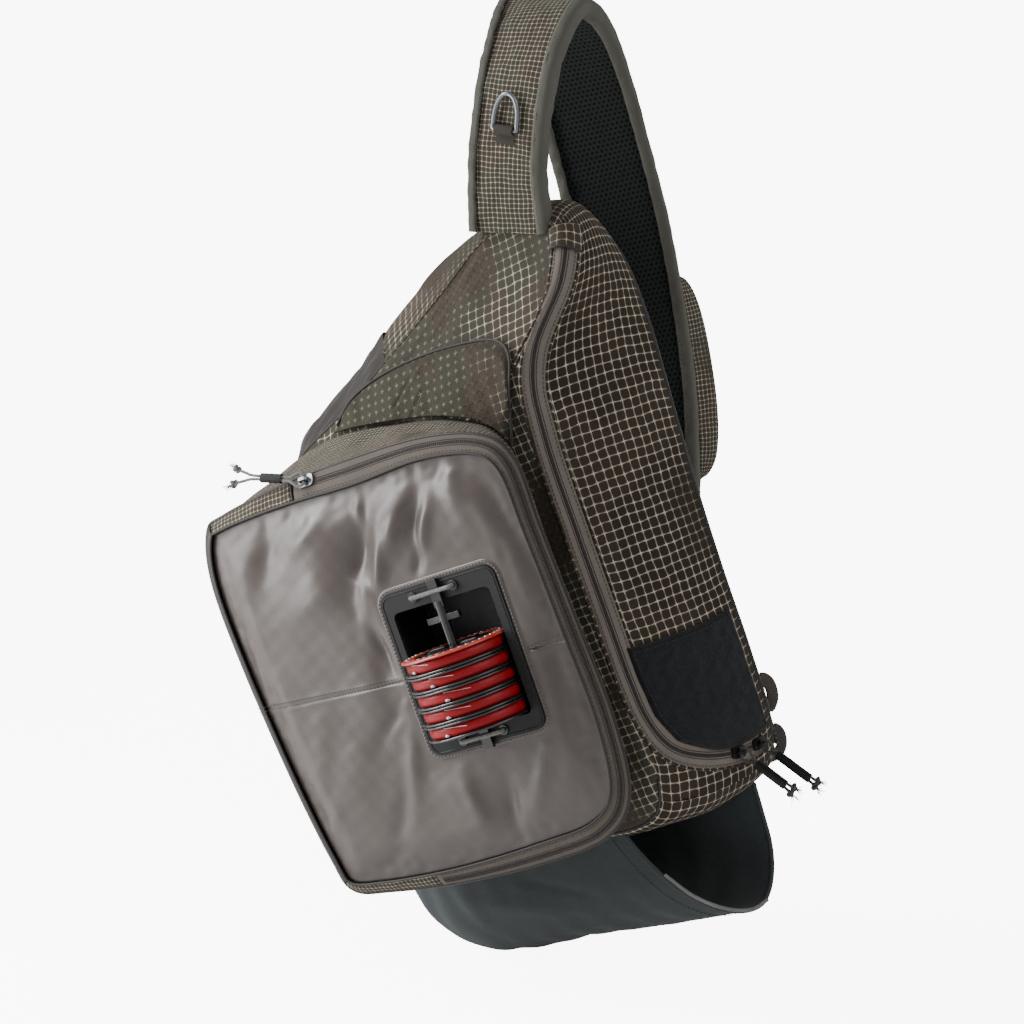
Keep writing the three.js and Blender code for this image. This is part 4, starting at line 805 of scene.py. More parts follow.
silverPrint = unevenFinish(
    "silver print", (0.50, 0.50, 0.50), (0.30, 0.30, 0.31), 14, 160, 0.34, "Object", bump=0.1,
    Metallic=0.7,
)
cordGrey = twillFinish(
    "grey cord", (0.42, 0.41, 0.40), 100, 5, 0.5, bump=1.0, bumpDepth=0.0004, Roughness=0.8,
    Sheen_Weight=0.2,
)
cordDull = twillFinish(
    "dull grey cord", (0.11, 0.105, 0.098), 100, 5, 0.55, bump=1.0, bumpDepth=0.0004, Roughness=0.8,
    Sheen_Weight=0.2,
)
metal = unevenFinish(
    "grey metal", (0.22, 0.235, 0.25), (0.12, 0.13, 0.14), 9, 160, 0.32, "Object", bump=0.1,
    bumpDepth=0.0001, Metallic=0.85,
)
lightThread = twillFinish("light thread", (0.20, 0.18, 0.155), 200, 0.4, 0.3, Roughness=0.7)
darkThread = twillFinish("dark thread", (0.020, 0.017, 0.015), 200, 0.4, 0.3, Roughness=0.7)
taupeThread = twillFinish("taupe thread", (0.085, 0.074, 0.066), 200, 0.4, 0.3, Roughness=0.7)
print("materials made:", len(bpy.data.materials))


# the bag's own surface, by row of its outline and ring of its section
def frontDepthAt(z):
    # full depth, less the taper that sets in at a share of the height
    return bag["depth"] * (1 - bag["taper"] * smooth(z, bag["taperFrom"] * bag["height"], bag["height"]))


def bodyPoint(row, ring):
    # outline from back to front by the section's across, moved to the middle by its inset, at its depth
    row, ring = np.broadcast_arrays(np.asarray(row, float), np.clip(ring, 0, 12))
    edge, cross = curveRows(bodyOutline, row, True), curveRows(bodyProfile, ring)
    across, inset, depth = cross[..., 0], cross[..., 1], cross[..., 2]
    x = mix(mix(edge[..., 0], edge[..., 2], across), bodyMiddle["x"], inset) * bag["width"]
    z = mix(mix(edge[..., 1], edge[..., 3], across), bodyMiddle["z"], inset) * bag["height"]
    return np.stack([x, -depth * frontDepthAt(z), z], -1)


def bodyNormal(row, ring):
    # slope round the section * slope along the outline
    along = bodyPoint(row + 0.02, ring) - bodyPoint(row - 0.02, ring)
    return unit(np.cross(bodyPoint(row, ring + 0.02) - bodyPoint(row, ring - 0.02), along))


def walk(row, ring, direction, distance):
    # four steps over the surface: each solves direction = row change * along + ring change * round
    for _ in range(4):
        along = (bodyPoint(row + 0.02, ring) - bodyPoint(row - 0.02, ring)) / 0.04
        turn = (bodyPoint(row, ring + 0.02) - bodyPoint(row, ring - 0.02)) / 0.04
        aa, ab, bb = (np.sum(p * q, -1) for p, q in ((along, along), (along, turn), (turn, turn)))
        da, db = np.sum(direction * along, -1), np.sum(direction * turn, -1)
        size = aa * bb - ab * ab
        row = row + (da * bb - db * ab) / size * distance / 4
        ring = ring + (db * aa - da * ab) / size * distance / 4
    return row, ring


def zipPlace(share):
    # place, run, direction across and outward direction of the main zip at a share of its path
    def at(t):
        spot = curveRows(zipPath, np.clip(t, 0, 1) * (len(zipPath) - 1))
        return spot[..., 0], mix(wallRings[0], wallRings[1], spot[..., 1])

    row, ring = at(share)
    run = unit(bodyPoint(*at(share + 0.004)) - bodyPoint(*at(share - 0.004)))
    out = bodyNormal(row, ring)
    return dict(
        row=row, ring=ring, run=run, out=out, across=unit(np.cross(out, run)), point=bodyPoint(row, ring),
    )


def bodySheet(
    name, rows, rings, material, wrinkle, seed, turn=0.0, plain=False, nodes=(),
):
    # place(row, ring) + normal * soft ripples, with cloth coordinates by arc length, or by X and Z
    # turned by an angle; rows and rings are first, last and count
    row, ring = twoWays(np.linspace(*rows), np.linspace(*rings))
    base = bodyPoint(row, ring)
    u, v = twoWays(lengthAlong(base, 0), lengthAlong(base, 1))
    zipRow = np.interp(
        row, zipPath[:, 0], mix(wallRings[0], wallRings[1], zipPath[:, 1]), left=-9, right=-9,
    )
    calm = smooth(np.abs(ring - zipRow), 0.35, 1.0) * mix(0.25, 1, smooth(np.abs(row - 14.6), 3.4, 4.2))
    edge = smooth(np.abs(ring - 8.4), 0.0, 0.5)
    lift = wrinkle * calm * edge * (ripples(u, v, 60, seed) + 0.45 * ripples(u, v, 22, seed + 1))
    points = base + bodyNormal(row, ring) * lift[..., None]
    uv = np.stack([u, v], -1)
    if plain:
        c, s = math.cos(math.radians(turn)), math.sin(math.radians(turn))
        uv = np.stack([base[..., 0] * c + base[..., 2] * s, base[..., 2] * c - base[..., 0] * s], -1)
    made = gridPiece(name, points, material, (10, -50, 200), uv=uv)
    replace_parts(made, *nodes)
    return made


backRing, frontRing = 2.2, 8.35
bodySheet(
    "body_front", (0, 22, 309), (frontRing, 12, 56), ripstop, 1.3, 4, turn=8, plain=True,
    nodes=["main_body"],
)
bodySheet("body_left_wall", (0.15, 6.75, 120), (backRing, frontRing, 44), darkCoated, 1.1, 5)
bodySheet("body_top_wall", (6.75, 11.0, 84), (backRing, frontRing, 44), ripstopFaint, 0.7, 6)
bodySheet(
    "side_panel_cloth", (11.0, 18.5, 150), (backRing, frontRing, 70), ripstopSide, 0.9, 7,
    nodes=["side_panel"],
)
bodySheet("body_bottom_wall", (18.5, 22.15, 84), (backRing, frontRing, 44), ripstopSide, 0.8, 8)
bodySheet("body_back", (0, 22, 221), (0, backRing, 20), darkCoated, 0.5, 9, plain=True)
print("body made")


def seamTube(name, rows, ring, radius, material, lift=0.3):
    # tube along place(row, ring) + normal * lift
    row = np.asarray(rows, float)
    base = bodyPoint(row, ring) + bodyNormal(row, ring) * lift
    return meshPiece(name, [tubeData(base, radius, 8)], material)


seamTube("left_edge_seam", np.linspace(0.2, 6.8, 160), 8.36, 0.8, darkThread)
seamTube("top_edge_seam", np.linspace(6.8, 11.05, 120), 8.36, 0.7, ripstop)
seamTube("bottom_edge_seam", np.linspace(18.1, 22.2, 110), 8.36, 0.9, darkThread)
seamTube("back_edge_piping", np.linspace(0, 22, 440), 2.7, 2.0, darkCoated, 0.9)


coilSides = 7


def coilParts(path, out, side, pitch=1.5, width=1.6, height=0.75, lift=0.2):
    # ridge = lift + height * round(across) * (tooth wave along the path)
    spots, at = evenly(path, pitch / 4)
    steps = np.arange(len(path))
    out, side = (unit(np.stack([np.interp(at, steps, v[:, k]) for k in range(3)], -1)) for v in (out, side))
    across = np.linspace(-1, 1, coilSides)
    wave = 0.62 + 0.38 * np.cos(np.arange(len(spots)) / 4 * math.tau)
    dome = np.sqrt(np.maximum(1 - across**2, 0))
    rise = lift + height * dome[None, :] * wave[:, None] - (across == 0)[None, :] * 0.3
    points = spots[:, None] + side[:, None] * (across * width)[None, :, None]
    points = points + out[:, None] * rise[..., None]
    uv = np.stack(twoWays(np.arange(len(spots)) * pitch / 4, across * width), -1) / 100
    faces = gridFaces(len(spots), coilSides)
    flat = points.reshape(-1, 3)
    corner = flat[faces[0]]
    if np.sum(np.cross(corner[2] - corner[0], corner[3] - corner[1]) * out[0]) < 0:
        faces = faces[:, ::-1]
    return flat, faces.tolist(), uv.reshape(-1, 2)


# main zip: tape, coil, folded edges and stitches, all on lines beside the zip's path
mainZip = dict(half=8.5, lift=0.75, stitch=6.7, edge=9.2, edgeRadius=1.0)
zipShares = np.linspace(0.003, 0.997, 340)
zipAt = zipPlace(zipShares)


def besideZip(offset, lift):
    # line at an offset over the cloth from the zip's path, raised by lift, and its outward directions
    row, ring = walk(zipAt["row"], zipAt["ring"], zipAt["across"], offset)
    out = bodyNormal(row, ring)
    return bodyPoint(row, ring) + out * lift, out


offsets = np.linspace(-1, 1, 17)
columns = [besideZip(o * mainZip["half"], mainZip["lift"] + 0.35 * (1 - abs(o) ** 3))[0] for o in offsets]
gridPiece("main_zip_cloth", np.stack(columns, 1), mainTwill, (60, -30, 160), thick=1.0)
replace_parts(bpy.data.objects["main_zip_cloth"], "main_zip_tape")
middle, middleOut = besideZip(0, mainZip["lift"] + 0.3)
meshPiece("main_zip_coil", [coilParts(middle, middleOut, zipAt["across"], width=1.2)], coilTaupe)
# painted shade: dark thread lines in the grooves beside the coil
mainCoilShade = [besideZip(o, mainZip["lift"] + 0.42)[0] for o in (-2.3, 2.3)]
meshPiece("main_zip_coil_shade", [tubeData(line, 0.28, 5) for line in mainCoilShade], darkThread)
folded = [tubeData(besideZip(o * mainZip["edge"], 0.55)[0], mainZip["edgeRadius"], 8) for o in (-1, 1)]
meshPiece("main_zip_folded_edges", folded, ripstopSide)
rowsOfStitches = [
    stitchRow(*besideZip(o * mainZip["stitch"], mainZip["lift"] + 0.25), pitch=3.0) for o in (-1, 1)
]
meshPiece("main_zip_stitches", rowsOfStitches, taupeThread)
zipGarage = dict(steps=22, half=10.2, lift=2.3, crown=0.7)
garage = np.stack([
    besideZip(o * zipGarage["half"], zipGarage["lift"] + zipGarage["crown"] * (1 - abs(o) ** 3))[0]
    for o in offsets
], 1)[:zipGarage["steps"]]
gridPiece("main_zip_garage", garage, ripstop, (60, -30, 160), thick=1.0)
meshPiece("main_zip_garage_edge", [tubeData(garage[-1], 0.8, 8)], darkThread)
print("main zip made")


# fleece patch on the foot of the side door
fleecePatch = dict(first=16.35, last=17.9, back=4.18, thickness=2.4, margin=10.5)
u, v = twoWays(np.linspace(0, 1, 70), np.linspace(0, 1, 60))
row = mix(fleecePatch["first"], fleecePatch["last"], u)
reach = np.maximum(
    0.12, np.interp(row, zipPath[:, 0], zipPath[:, 1]) - fleecePatch["margin"] / bag["depth"],
)
ring = mix(fleecePatch["back"], mix(wallRings[0], wallRings[1], reach), v)
edge = np.minimum(np.minimum(u, 1 - u) * 74, np.minimum(v, 1 - v) * 70)
lift = 0.5 + fleecePatch["thickness"] * smooth(edge, -1.0, 2.2) + 0.25 * ripples(
    row * 40, ring * 26, 12, 31,
)
points = bodyPoint(row, ring) + bodyNormal(row, ring) * lift[..., None]
gridPiece("fleece_cloth", points, fleece, (60, -30, 120), thick=1.6)
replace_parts(bpy.data.objects["fleece_cloth"], "fleece_patch")
inner = slice(3, -3)
frameLines, outLines = (
    [grid[3, inner], grid[-4, inner], grid[inner, 3], grid[inner, -4]]
    for grid in (points, bodyNormal(row, ring))
)
meshPiece(
    "fleece_stitches", [stitchRow(line, out, pitch=3.0) for line, out in zip(frameLines, outLines)],
    darkThread,
)


# padded back: quilted mesh that rises from its edge, with channels between the pads
backPad = dict(
    inset=6, thickness=9, channels=(0.30, 0.56, 0.80), channelWidth=5.0, channelDepth=4.0, spineX=5,
    spineShare=0.4, least=0.05,
)
row, share = twoWays(np.linspace(0, 22, 265), np.linspace(0, 1, 60) ** 1.15)
edge = bodyPoint(row, 3.0)
centre = np.array([bodyMiddle["x"] * bag["width"], 0, bodyMiddle["z"] * bag["height"]])
inward = unit((centre - edge) * [1, 0, 1])
start = edge + inward * backPad["inset"]
flatPoint = mix(start, centre, share[..., None])
into = np.linalg.norm(flatPoint - start, axis=-1)
rise = smooth(into, -2, 9)
heights = flatPoint[..., 2] / bag["height"]
channelShare = backPad["channelDepth"] / backPad["thickness"]
for channel in backPad["channels"]:
    away = (heights - channel) * bag["height"] / backPad["channelWidth"]
    rise = rise - channelShare * np.exp(-away**2)
away = (flatPoint[..., 0] - backPad["spineX"]) / backPad["channelWidth"]
spine = np.exp(-away**2) * (heights > backPad["channels"][0])
rise = np.maximum(rise - spine * backPad["spineShare"], backPad["least"])
flatPoint[..., 1] = bag["gap"] + backPad["thickness"] * rise + 0.25 * ripples(
    flatPoint[..., 0], flatPoint[..., 2], 26, 12,
) * smooth(into, 2, 12)
padCloth = gridPiece(
    "back_panel_pad", flatPoint, spacer, (10, -60, 200),
    uv=np.stack([flatPoint[..., 0], flatPoint[..., 2]], -1),
)
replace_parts(padCloth, "back_panel")
rim = start[:, 0] + [0, 1.6, 0]
meshPiece("back_panel_binding", [tubeData(rim, 2.2, 8)], bindingCloth)
print("back made")


# front pocket: outline places by row and share from the seam to the front edge, moved inwards
pocketBack = -(bag["depth"] + bag["gap"])
pocketFront = -(bag["depth"] + pocket["depth"])
faceFront = pocketFront - pocket["slope"]
facePlane = faceFront - pocket["dome"]
stripBack, stripFront = pocketFront - 2.3, faceFront - 2
insidePocket = (-10, -133, 140)
towardsFront = [[0.0, -1, 0]]


def pocketEdge(row, share):
    # outline at the seam mixed with the outline at the front by share
    row, share = np.broadcast_arrays(np.asarray(row, float), np.asarray(share, float))
    edge = curveRows(pocketOutline, row, True)
    x = mix(edge[..., 0], edge[..., 2], share) * bag["width"]
    z = mix(edge[..., 1], edge[..., 3], share) * bag["height"]
    return np.stack([x, mix(pocketBack, pocketFront, share), z], -1)


def pocketInset(row, share, distance):
    # edge place + direction inwards * distance
    run = unit(pocketEdge(row + 0.05, share) - pocketEdge(row - 0.05, share))
    inwards = np.stack([run[..., 2], np.zeros(run.shape[:-1]), -run[..., 0]], -1)
    return pocketEdge(row, share) + inwards * np.asarray(distance, float)[..., None]


def tapeWidthAt(row):
    # inset of the face * the outline's last column
    return pocket["inset"] * curveRows(pocketOutline, row, True)[..., 4]


def gusset(name, rowFrom, rowTo, material, wrinkle, seed, nodes=()):
    # edge place moved outwards by ripples that die out at both seams
    count = max(12, int((rowTo - rowFrom) * 14))
    row, share = twoWays(np.linspace(rowFrom, rowTo, count), np.linspace(0, 1, 36))
    base = pocketEdge(row, share)
    u, v = twoWays(lengthAlong(base, 0), lengthAlong(base, 1))
    u = u + rowFrom * 40
    soft = np.sin(np.pi * share) ** 0.7
    lift = soft * wrinkle * (ripples(u, v, 34, seed) + 0.6 * ripples(u, v * 0.4, 14, seed + 1)) - 1.2 * soft
    made = gridPiece(
        name, pocketInset(row, share, -lift), material, insidePocket, uv=np.stack([u, v], -1),
        thick=1.6,
    )
    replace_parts(made, *nodes)
    return made


gusset("pocket_gusset", 5.55, 20.3, ripstopFine, 0.9, 41, ["front_pocket"])
gusset("pocket_gusset_left", 20.3, 25.55, darkCoated, 1.0, 43)
backWall = mix(
    pocketEdge(np.linspace(0, 20, 161), 0.0)[:, None], np.array([-12.4, pocketBack, 142.7]),
    np.linspace(0, 1, 12)[None, :, None],
)
gridPiece("pocket_back_wall", backWall, darkCoated, (-10, -90, 140))


def frontStrip(name, rowFrom, rowTo, material, nodes=(), crown=0.7):
    # from the gusset's edge, sloping forwards to the panel's edge, with a slight crown
    count = max(10, int((rowTo - rowFrom) * 16))
    row, share = twoWays(np.linspace(rowFrom, rowTo, count), np.linspace(0, 1, 14))
    points = pocketInset(row, 1.0, tapeWidthAt(row) * share)
    points[..., 1] = mix(stripBack, stripFront, share) - crown * np.sin(np.pi * share)
    made = gridPiece(name, points, material, insidePocket, thick=1.2)
    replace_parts(made, *nodes)


frontStrip("front_zip_cloth", *tapeRows, zipTwill, ["front_zip_tape"])
frontStrip("front_corner_cloth", 5.5, 7.13, ripstopFine)
frontStrip("front_bottom_cloth", 18.32, 20.32, ripstopFine)
frontStrip("front_left_piping", 20.3, 25.52, darkCoated, ["front_piping"], crown=2.2)


def stripLine(rows, share, lift=0.0):
    # line along the strip at a share of its width, raised by lift
    line = pocketInset(rows, 1.0, tapeWidthAt(rows) * share)
    crown = 0.7 * math.sin(math.pi * min(max(share, 0), 1))
    line[:, 1] = mix(stripBack, stripFront, share) - crown - lift
    return line


def stripOut(rows):
    # across * run, turned to the front
    side = unit(stripLine(rows, 0.9) - stripLine(rows, 0.1))
    out = unit(np.cross(side, np.gradient(stripLine(rows, 0.5), axis=0)))
    return out * np.where(out[:, 1:2] > 0, -1, 1), side


allRows = np.linspace(0, 20, 401)
tapeLine = np.linspace(tapeRows[0] + 0.12, tapeRows[1] - 0.05, 300)
stripUp, stripSide = stripOut(tapeLine)
meshPiece(
    "front_zip_coil", [coilParts(stripLine(tapeLine, 0.42), stripUp, stripSide, width=1.0)], coilTaupe,
)
coilLine = stripLine(tapeLine, 0.42)
# painted shade: dark thread lines in the grooves beside the coil
grooves = [tubeData(coilLine + stripSide * o + stripUp * 0.12, 0.26, 5) for o in (-2.0, 2.0)]
meshPiece("front_zip_coil_shade", grooves, darkThread)
meshPiece(
    "front_zip_stitches", [stitchRow(stripLine(tapeLine, 0.86), stripUp, 2.8, 1.9, 0.26)], taupeThread,
)
meshPiece("pocket_edge_seam", [tubeData(stripLine(allRows, 0.0, -0.4), 1.0, 8)], darkCoated)
meshPiece("panel_edge_seam", [tubeData(stripLine(allRows, 1.03, 0.2), 0.85, 8)], darkThread)
stripEnd = np.stack([stripLine(np.array([7.13, 7.14]), s, 0.5)[0] for s in np.linspace(0, 1, 12)])
meshPiece("front_zip_end_seam", [tubeData(stripEnd, 0.7, 8)], darkThread)


# dock frame: places in millimetres beside the middle of its plate, with Y = 0 on the plate's back
def dockPlace(p):
    p = np.asarray(p, float)
    c, s = math.cos(math.radians(dock["turn"])), math.sin(math.radians(dock["turn"]))
    return np.stack([
        p[..., 0] * c - p[..., 2] * s + dock["x"], p[..., 1] + facePlane - bag["gap"],
        p[..., 0] * s + p[..., 2] * c + dock["z"],
    ], -1)


def besideDock(x, z):
    # distance outside the dock's rectangle, negative inside it
    c, s = math.cos(math.radians(dock["turn"])), math.sin(math.radians(dock["turn"]))
    dx, dz = x - dock["x"], z - dock["z"]
    return np.maximum(
        np.abs(dx * c + dz * s) - dock["width"] / 2, np.abs(dz * c - dx * s) - dock["height"] / 2,
    )


# folds of the face panel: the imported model's soft ones, then sharper creases, in millimetres
softFolds = [
    (-0.075, 0.560, 62, 0.110, 0.045, -0.75), (0.020, 0.610, 55, 0.120, 0.040, 0.55),
    (0.095, 0.610, 68, 0.090, 0.030, -0.45),
    (-0.095, 0.400, 98, 0.120, 0.040, -0.60), (-0.200, 0.560, 60, 0.130, 0.055, 0.45),
    (-0.330, 0.600, 72, 0.090, 0.040, -0.45),
    (0.000, 0.150, 105, 0.110, 0.050, 0.45), (0.120, 0.130, 80, 0.080, 0.040, -0.45),
    (-0.250, 0.230, 60, 0.150, 0.060, 0.35),
]
wide, high = bag["width"], bag["height"]
softFolds = [
    (x * wide, z * high, turn, length * wide, width * wide, height * pocket["dome"])
    for x, z, turn, length, width, height in softFolds
]
sharpFolds = [
    (12, 238, 48, 20, 5.5, 2.4), (-10, 214, 72, 22, 5.0, 2.2), (30, 232, 62, 16, 4.5, 2.2),
    (20, 214, 70, 14, 4.0, -1.6),
    (-22, 226, 66, 24, 6.0, -1.4), (-32, 180, 82, 26, 6.5, 1.2), (-24, 160, 104, 20, 5.0, -1.6),
    (-52, 250, 40, 24, 7.0, 1.3),
    (-78, 262, 62, 16, 5.0, 1.1), (-92, 240, 58, 26, 7.0, -1.0), (-60, 205, 20, 26, 8.0, 0.7),
    (58, 250, 95, 22, 7.0, 1.1),
    (84, 232, 112, 26, 6.0, -1.2), (88, 190, 96, 24, 5.0, 1.0), (92, 120, 84, 24, 5.0, -1.1),
    (-28, 84, 72, 22, 6.0, 1.5),
    (-44, 60, 60, 26, 6.5, -1.2), (10, 58, 96, 20, 6.0, 1.3), (34, 46, 80, 20, 5.0, -1.2),
    (62, 62, 62, 22, 6.0, 1.2),
    (-96, 100, 70, 30, 9.0, 0.8), (-118, 150, 84, 24, 7.0, -0.8), (-104, 56, 50, 22, 7.0, 0.9),
    (-70, 24, 30, 20, 6.0, -0.8),
    (-12, 128, 20, 14, 4.0, 1.0), (-34, 116, 42, 22, 5.0, -0.9), (-14, 252, 84, 10, 3.5, 1.2),
    (50, 268, 70, 12, 4.0, -1.0),
]


def grooveAlong(x, z, a, b, width):
    # 1 on the line from a to b, fading over width
    ax, az, bx, bz = *a, *b
    t = np.clip(((x - ax) * (bx - ax) + (z - az) * (bz - az)) / ((bx - ax) ** 2 + (bz - az) ** 2), 0, 1)
    away = np.hypot(x - mix(ax, bx, t), z - mix(az, bz, t))
    return np.exp(-(away / width) ** 2)


panelSeams = [((-136, 140.5), (-17, 140)), ((78, 142), (108, 146))]


def panelFront(x, z, share):
    # depth of the face: front edge - dome * rise - folds, ripples, edge puckers and seam grooves
    rise = smooth(share, 0, 0.2)
    clear = smooth(besideDock(x, z), 3, 24)
    near = smooth(besideDock(x, z), 1, 12) * smooth(share, 0.0, 0.09)
    fine = 1.7 * folds(x, z, sharpFolds) + 0.35 * ripples(x, z, 46, 71) + 0.12 * ripples(x, z, 17, 72)
    lift = folds(x, z, softFolds) * rise * clear + near * fine
    pucker = smooth(share, 0.16, 0.0) * np.sin(np.clip(share, 0, 1) * 16)
    lift = lift + 0.5 * pucker * ripples(x, z, 13, 73)
    for a, b in panelSeams:
        lift = lift - 0.9 * grooveAlong(x, z, a, b, 1.1) + 0.5 * grooveAlong(x, z, a, b, 3.4)
    return faceFront - pocket["dome"] * rise - lift


def panelAt(x, z):
    # places on the face panel, well inside its edge
    return np.stack([x, panelFront(x, z, np.ones_like(x)), z], -1)


def innerOutline(distance, count):
    # nearest crossing of each direction from the panel's middle with the outline moved inwards
    middle = np.array([pocketMiddle["x"] * bag["width"], pocketMiddle["z"] * bag["height"]])
    rows = np.linspace(0, 20, 1601)
    line = pocketInset(rows, 1.0, tapeWidthAt(rows) + distance)[:, [0, 2]] - middle
    angle, radius = np.unwrap(np.arctan2(line[:, 1], line[:, 0])), np.hypot(line[:, 0], line[:, 1])
    want = np.linspace(0, -math.tau, count)
    found = np.full(count, np.inf)
    for turn in (-math.tau, 0, math.tau, 2 * math.tau):
        a, b = angle[None, :-1] + turn, angle[None, 1:] + turn
        t = (want[:, None] - a) / np.where(np.abs(b - a) < 1e-9, 1e-9, b - a)
        hit = np.where((t >= 0) & (t <= 1), mix(radius[None, :-1], radius[None, 1:], t), np.inf)
        found = np.minimum(found, hit.min(axis=1))
    return middle + np.stack([found * np.cos(want), found * np.sin(want)], -1)


edge = innerOutline(0.6, 401)[:, None]
steps = np.concatenate([np.linspace(0, 0.1, 9), np.linspace(0.108, 0.995, 118)])
share = steps[None, :] * np.ones((len(edge), 1))
x = mix(edge[..., 0], pocketMiddle["x"] * bag["width"], share)
z = mix(edge[..., 1], pocketMiddle["z"] * bag["height"], share)
points = np.stack([x, panelFront(x, z, share), z], -1)
panel = gridPiece(
    "front_panel_cloth", points, coated, (-10, -120, 140), uv=np.stack([x, z], -1), thick=1.4,
    keep=besideDock(x, z) > -3.5,
)
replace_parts(panel, "front_panel")
seamParts = []
for (ax, az), (bx, bz) in panelSeams:
    t = np.linspace(0.02, 0.98, 80)
    for offset in (-0.2, 2.6):
        line = panelAt(mix(ax, bx, t), mix(az, bz, t) + offset)
        seamParts.append(stitchRow(line, np.tile(towardsFront, (80, 1)), 2.6, 1.7, 0.24, 0.1))
meshPiece("panel_seam_stitches", seamParts, darkThread)
print("front pocket made")


# upper flat pocket between its arch and the top seam of the front pocket
upperPad = dict(rows=(7.0, 10.6), thickness=5, darts=[((14, 337), (-8, 308)), ((13, 313), (-3, 289))])
u, v = twoWays(np.linspace(0, 1, 130), np.linspace(0, 1, 70))
low = pocketInset(mix(*upperPad["rows"], u), 0.0, np.full(u.shape, -3.0))
high = curveRows(upperArch, u * (len(upperArch) - 1))
x, z = mix(low[..., 0], high[..., 0] * bag["width"], v), mix(low[..., 2], high[..., 1] * bag["height"], v)
edge = np.minimum(1, 8 * np.minimum(np.minimum(u, 1 - u), 1 - v))
swell = mix(0.3, 1, smooth(edge, 0, 1)) * upperPad["thickness"]
swell = swell + smooth(edge, 0, 1) * (0.9 * ripples(x, z, 44, 91) + 0.35 * ripples(x, z, 17, 92))
for a, b in upperPad["darts"]:
    swell = swell - 1.3 * grooveAlong(x, z, a, b, 1.2) + 0.9 * grooveAlong(x, z, a, b, 4.5)
swell = np.maximum(swell, 2.4)
points = np.stack([x, -frontDepthAt(z) - 1.2 - swell, z], -1)
c, s = math.cos(math.radians(5)), math.sin(math.radians(5))
upper = gridPiece(
    "upper_pocket_cloth", points, ripstopFaint, (10, -60, 290),
    uv=np.stack([x * c + z * s + 31, z * c - x * s + 17], -1), thick=1.4,
)
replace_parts(upper, "upper_pocket")
archLine = points[:, -1] + [0, -0.3, 0]
sideLine = points[-1, :] + [0, -0.3, 0]
meshPiece("upper_pocket_seam", [tubeData(archLine, 0.9, 8), tubeData(sideLine, 0.9, 8)], darkThread)
print("upper pocket made")


def refined(nodes, name, material, bevel, body="bag"):
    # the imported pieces' own shape, joined up, with softened edges
    whole = bmesh.new()
    for node in nodes:
        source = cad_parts[node]
        copy = source.data.copy()
        copy.transform(source.matrix_world)
        whole.from_mesh(copy)
        bpy.data.meshes.remove(copy)
    bmesh.ops.remove_doubles(whole, verts=whole.verts, dist=2e-6)
    bmesh.ops.dissolve_limit(whole, angle_limit=math.radians(1), verts=whole.verts, edges=whole.edges)
    mesh = bpy.data.meshes.new(name)
    whole.to_mesh(mesh)
    whole.free()
    mesh.materials.clear()
    made = addObject(name, mesh, material, body)
    mesh.polygons.foreach_set("use_smooth", np.ones(len(mesh.polygons), bool))
    mesh.set_sharp_from_angle(angle=math.radians(35))
    soft = made.modifiers.new("soft edges", "BEVEL")
    soft.width, soft.segments, soft.limit_method = bevel / 1000, 2, "ANGLE"
    soft.angle_limit, soft.harden_normals = math.radians(30), True
    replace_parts(made, *nodes)


refined(["dock_panel"], "dock_plate", rubber, 0.6)
refined(["dock_recess"], "dock_tray", recessBlack, 0.5)
refined([f"dock_eyelet_{k}" for k in (1, 2, 3, 4)], "dock_eyelets", glossBlack, 0.25)
refined(["tippet_bar"], "spool_bar", glossBlack, 0.45)


def roundedPath(width, height, corner, count=60):
    # corners by angle, then evenly along the whole line
    angle = np.radians(np.concatenate([np.linspace(k * 90, k * 90 + 90, 12) for k in range(4)]))
    middleX = np.repeat([1, -1, -1, 1], 12) * (width / 2 - corner)
    middleZ = np.repeat([1, 1, -1, -1], 12) * (height / 2 - corner)
    line = np.stack([middleX + corner * np.cos(angle), np.zeros(48), middleZ + corner * np.sin(angle)], -1)
    line = np.concatenate([line, line[:1]])
    along = np.concatenate([[0], np.cumsum(np.linalg.norm(np.diff(line, axis=0), axis=1))])
    want = np.linspace(0, along[-1], count * 4 + 1)
    return np.stack([np.interp(want, along, line[:, k]) for k in range(3)], -1)


# lip of cloth round the dock with stitches on it, and a raised line on the plate
dockLip = dict(inner=-0.6, outer=3.8, height=1.0, stitch=1.9)
path = roundedPath(dock["width"], dock["height"], dock["corner"])
middleOut = unit(np.stack([np.gradient(path[:, 2]), np.zeros(len(path)), -np.gradient(path[:, 0])], -1))
middleOut = middleOut * np.where(np.sum(middleOut * path, -1) > 0, 1, -1)[:, None]
share = np.linspace(0, 1, 12)
across = mix(dockLip["inner"], dockLip["outer"], share)
points = path[:, None] + middleOut[:, None] * across[None, :, None]
hill = dockLip["height"] * np.minimum(1, 2.4 * np.sqrt(share)) * np.sqrt(np.maximum(1 - share**2.4, 0))
points[..., 1] = bag["gap"] + 0.4 - hill[None, :] - 0.15 * (share < 0.999)
gridPiece("dock_lip", dockPlace(points), coated, (31, -100, 145))
stitchLine = path + middleOut * dockLip["stitch"] + [0, -0.75, 0]
lipOut = np.tile(towardsFront, (len(path), 1))
meshPiece("dock_stitches", [stitchRow(dockPlace(stitchLine), lipOut, 2.5, 1.6, 0.36, 0.2)], lightThread)
welt = roundedPath(
    dock["width"] - 3.4, dock["height"] - 3.4, dock["corner"] - 1.5,
) + [0, -dock["thickness"], 0]
meshPiece("dock_plate_line", [tubeData(dockPlace(welt), 0.42, 6)], rubber)


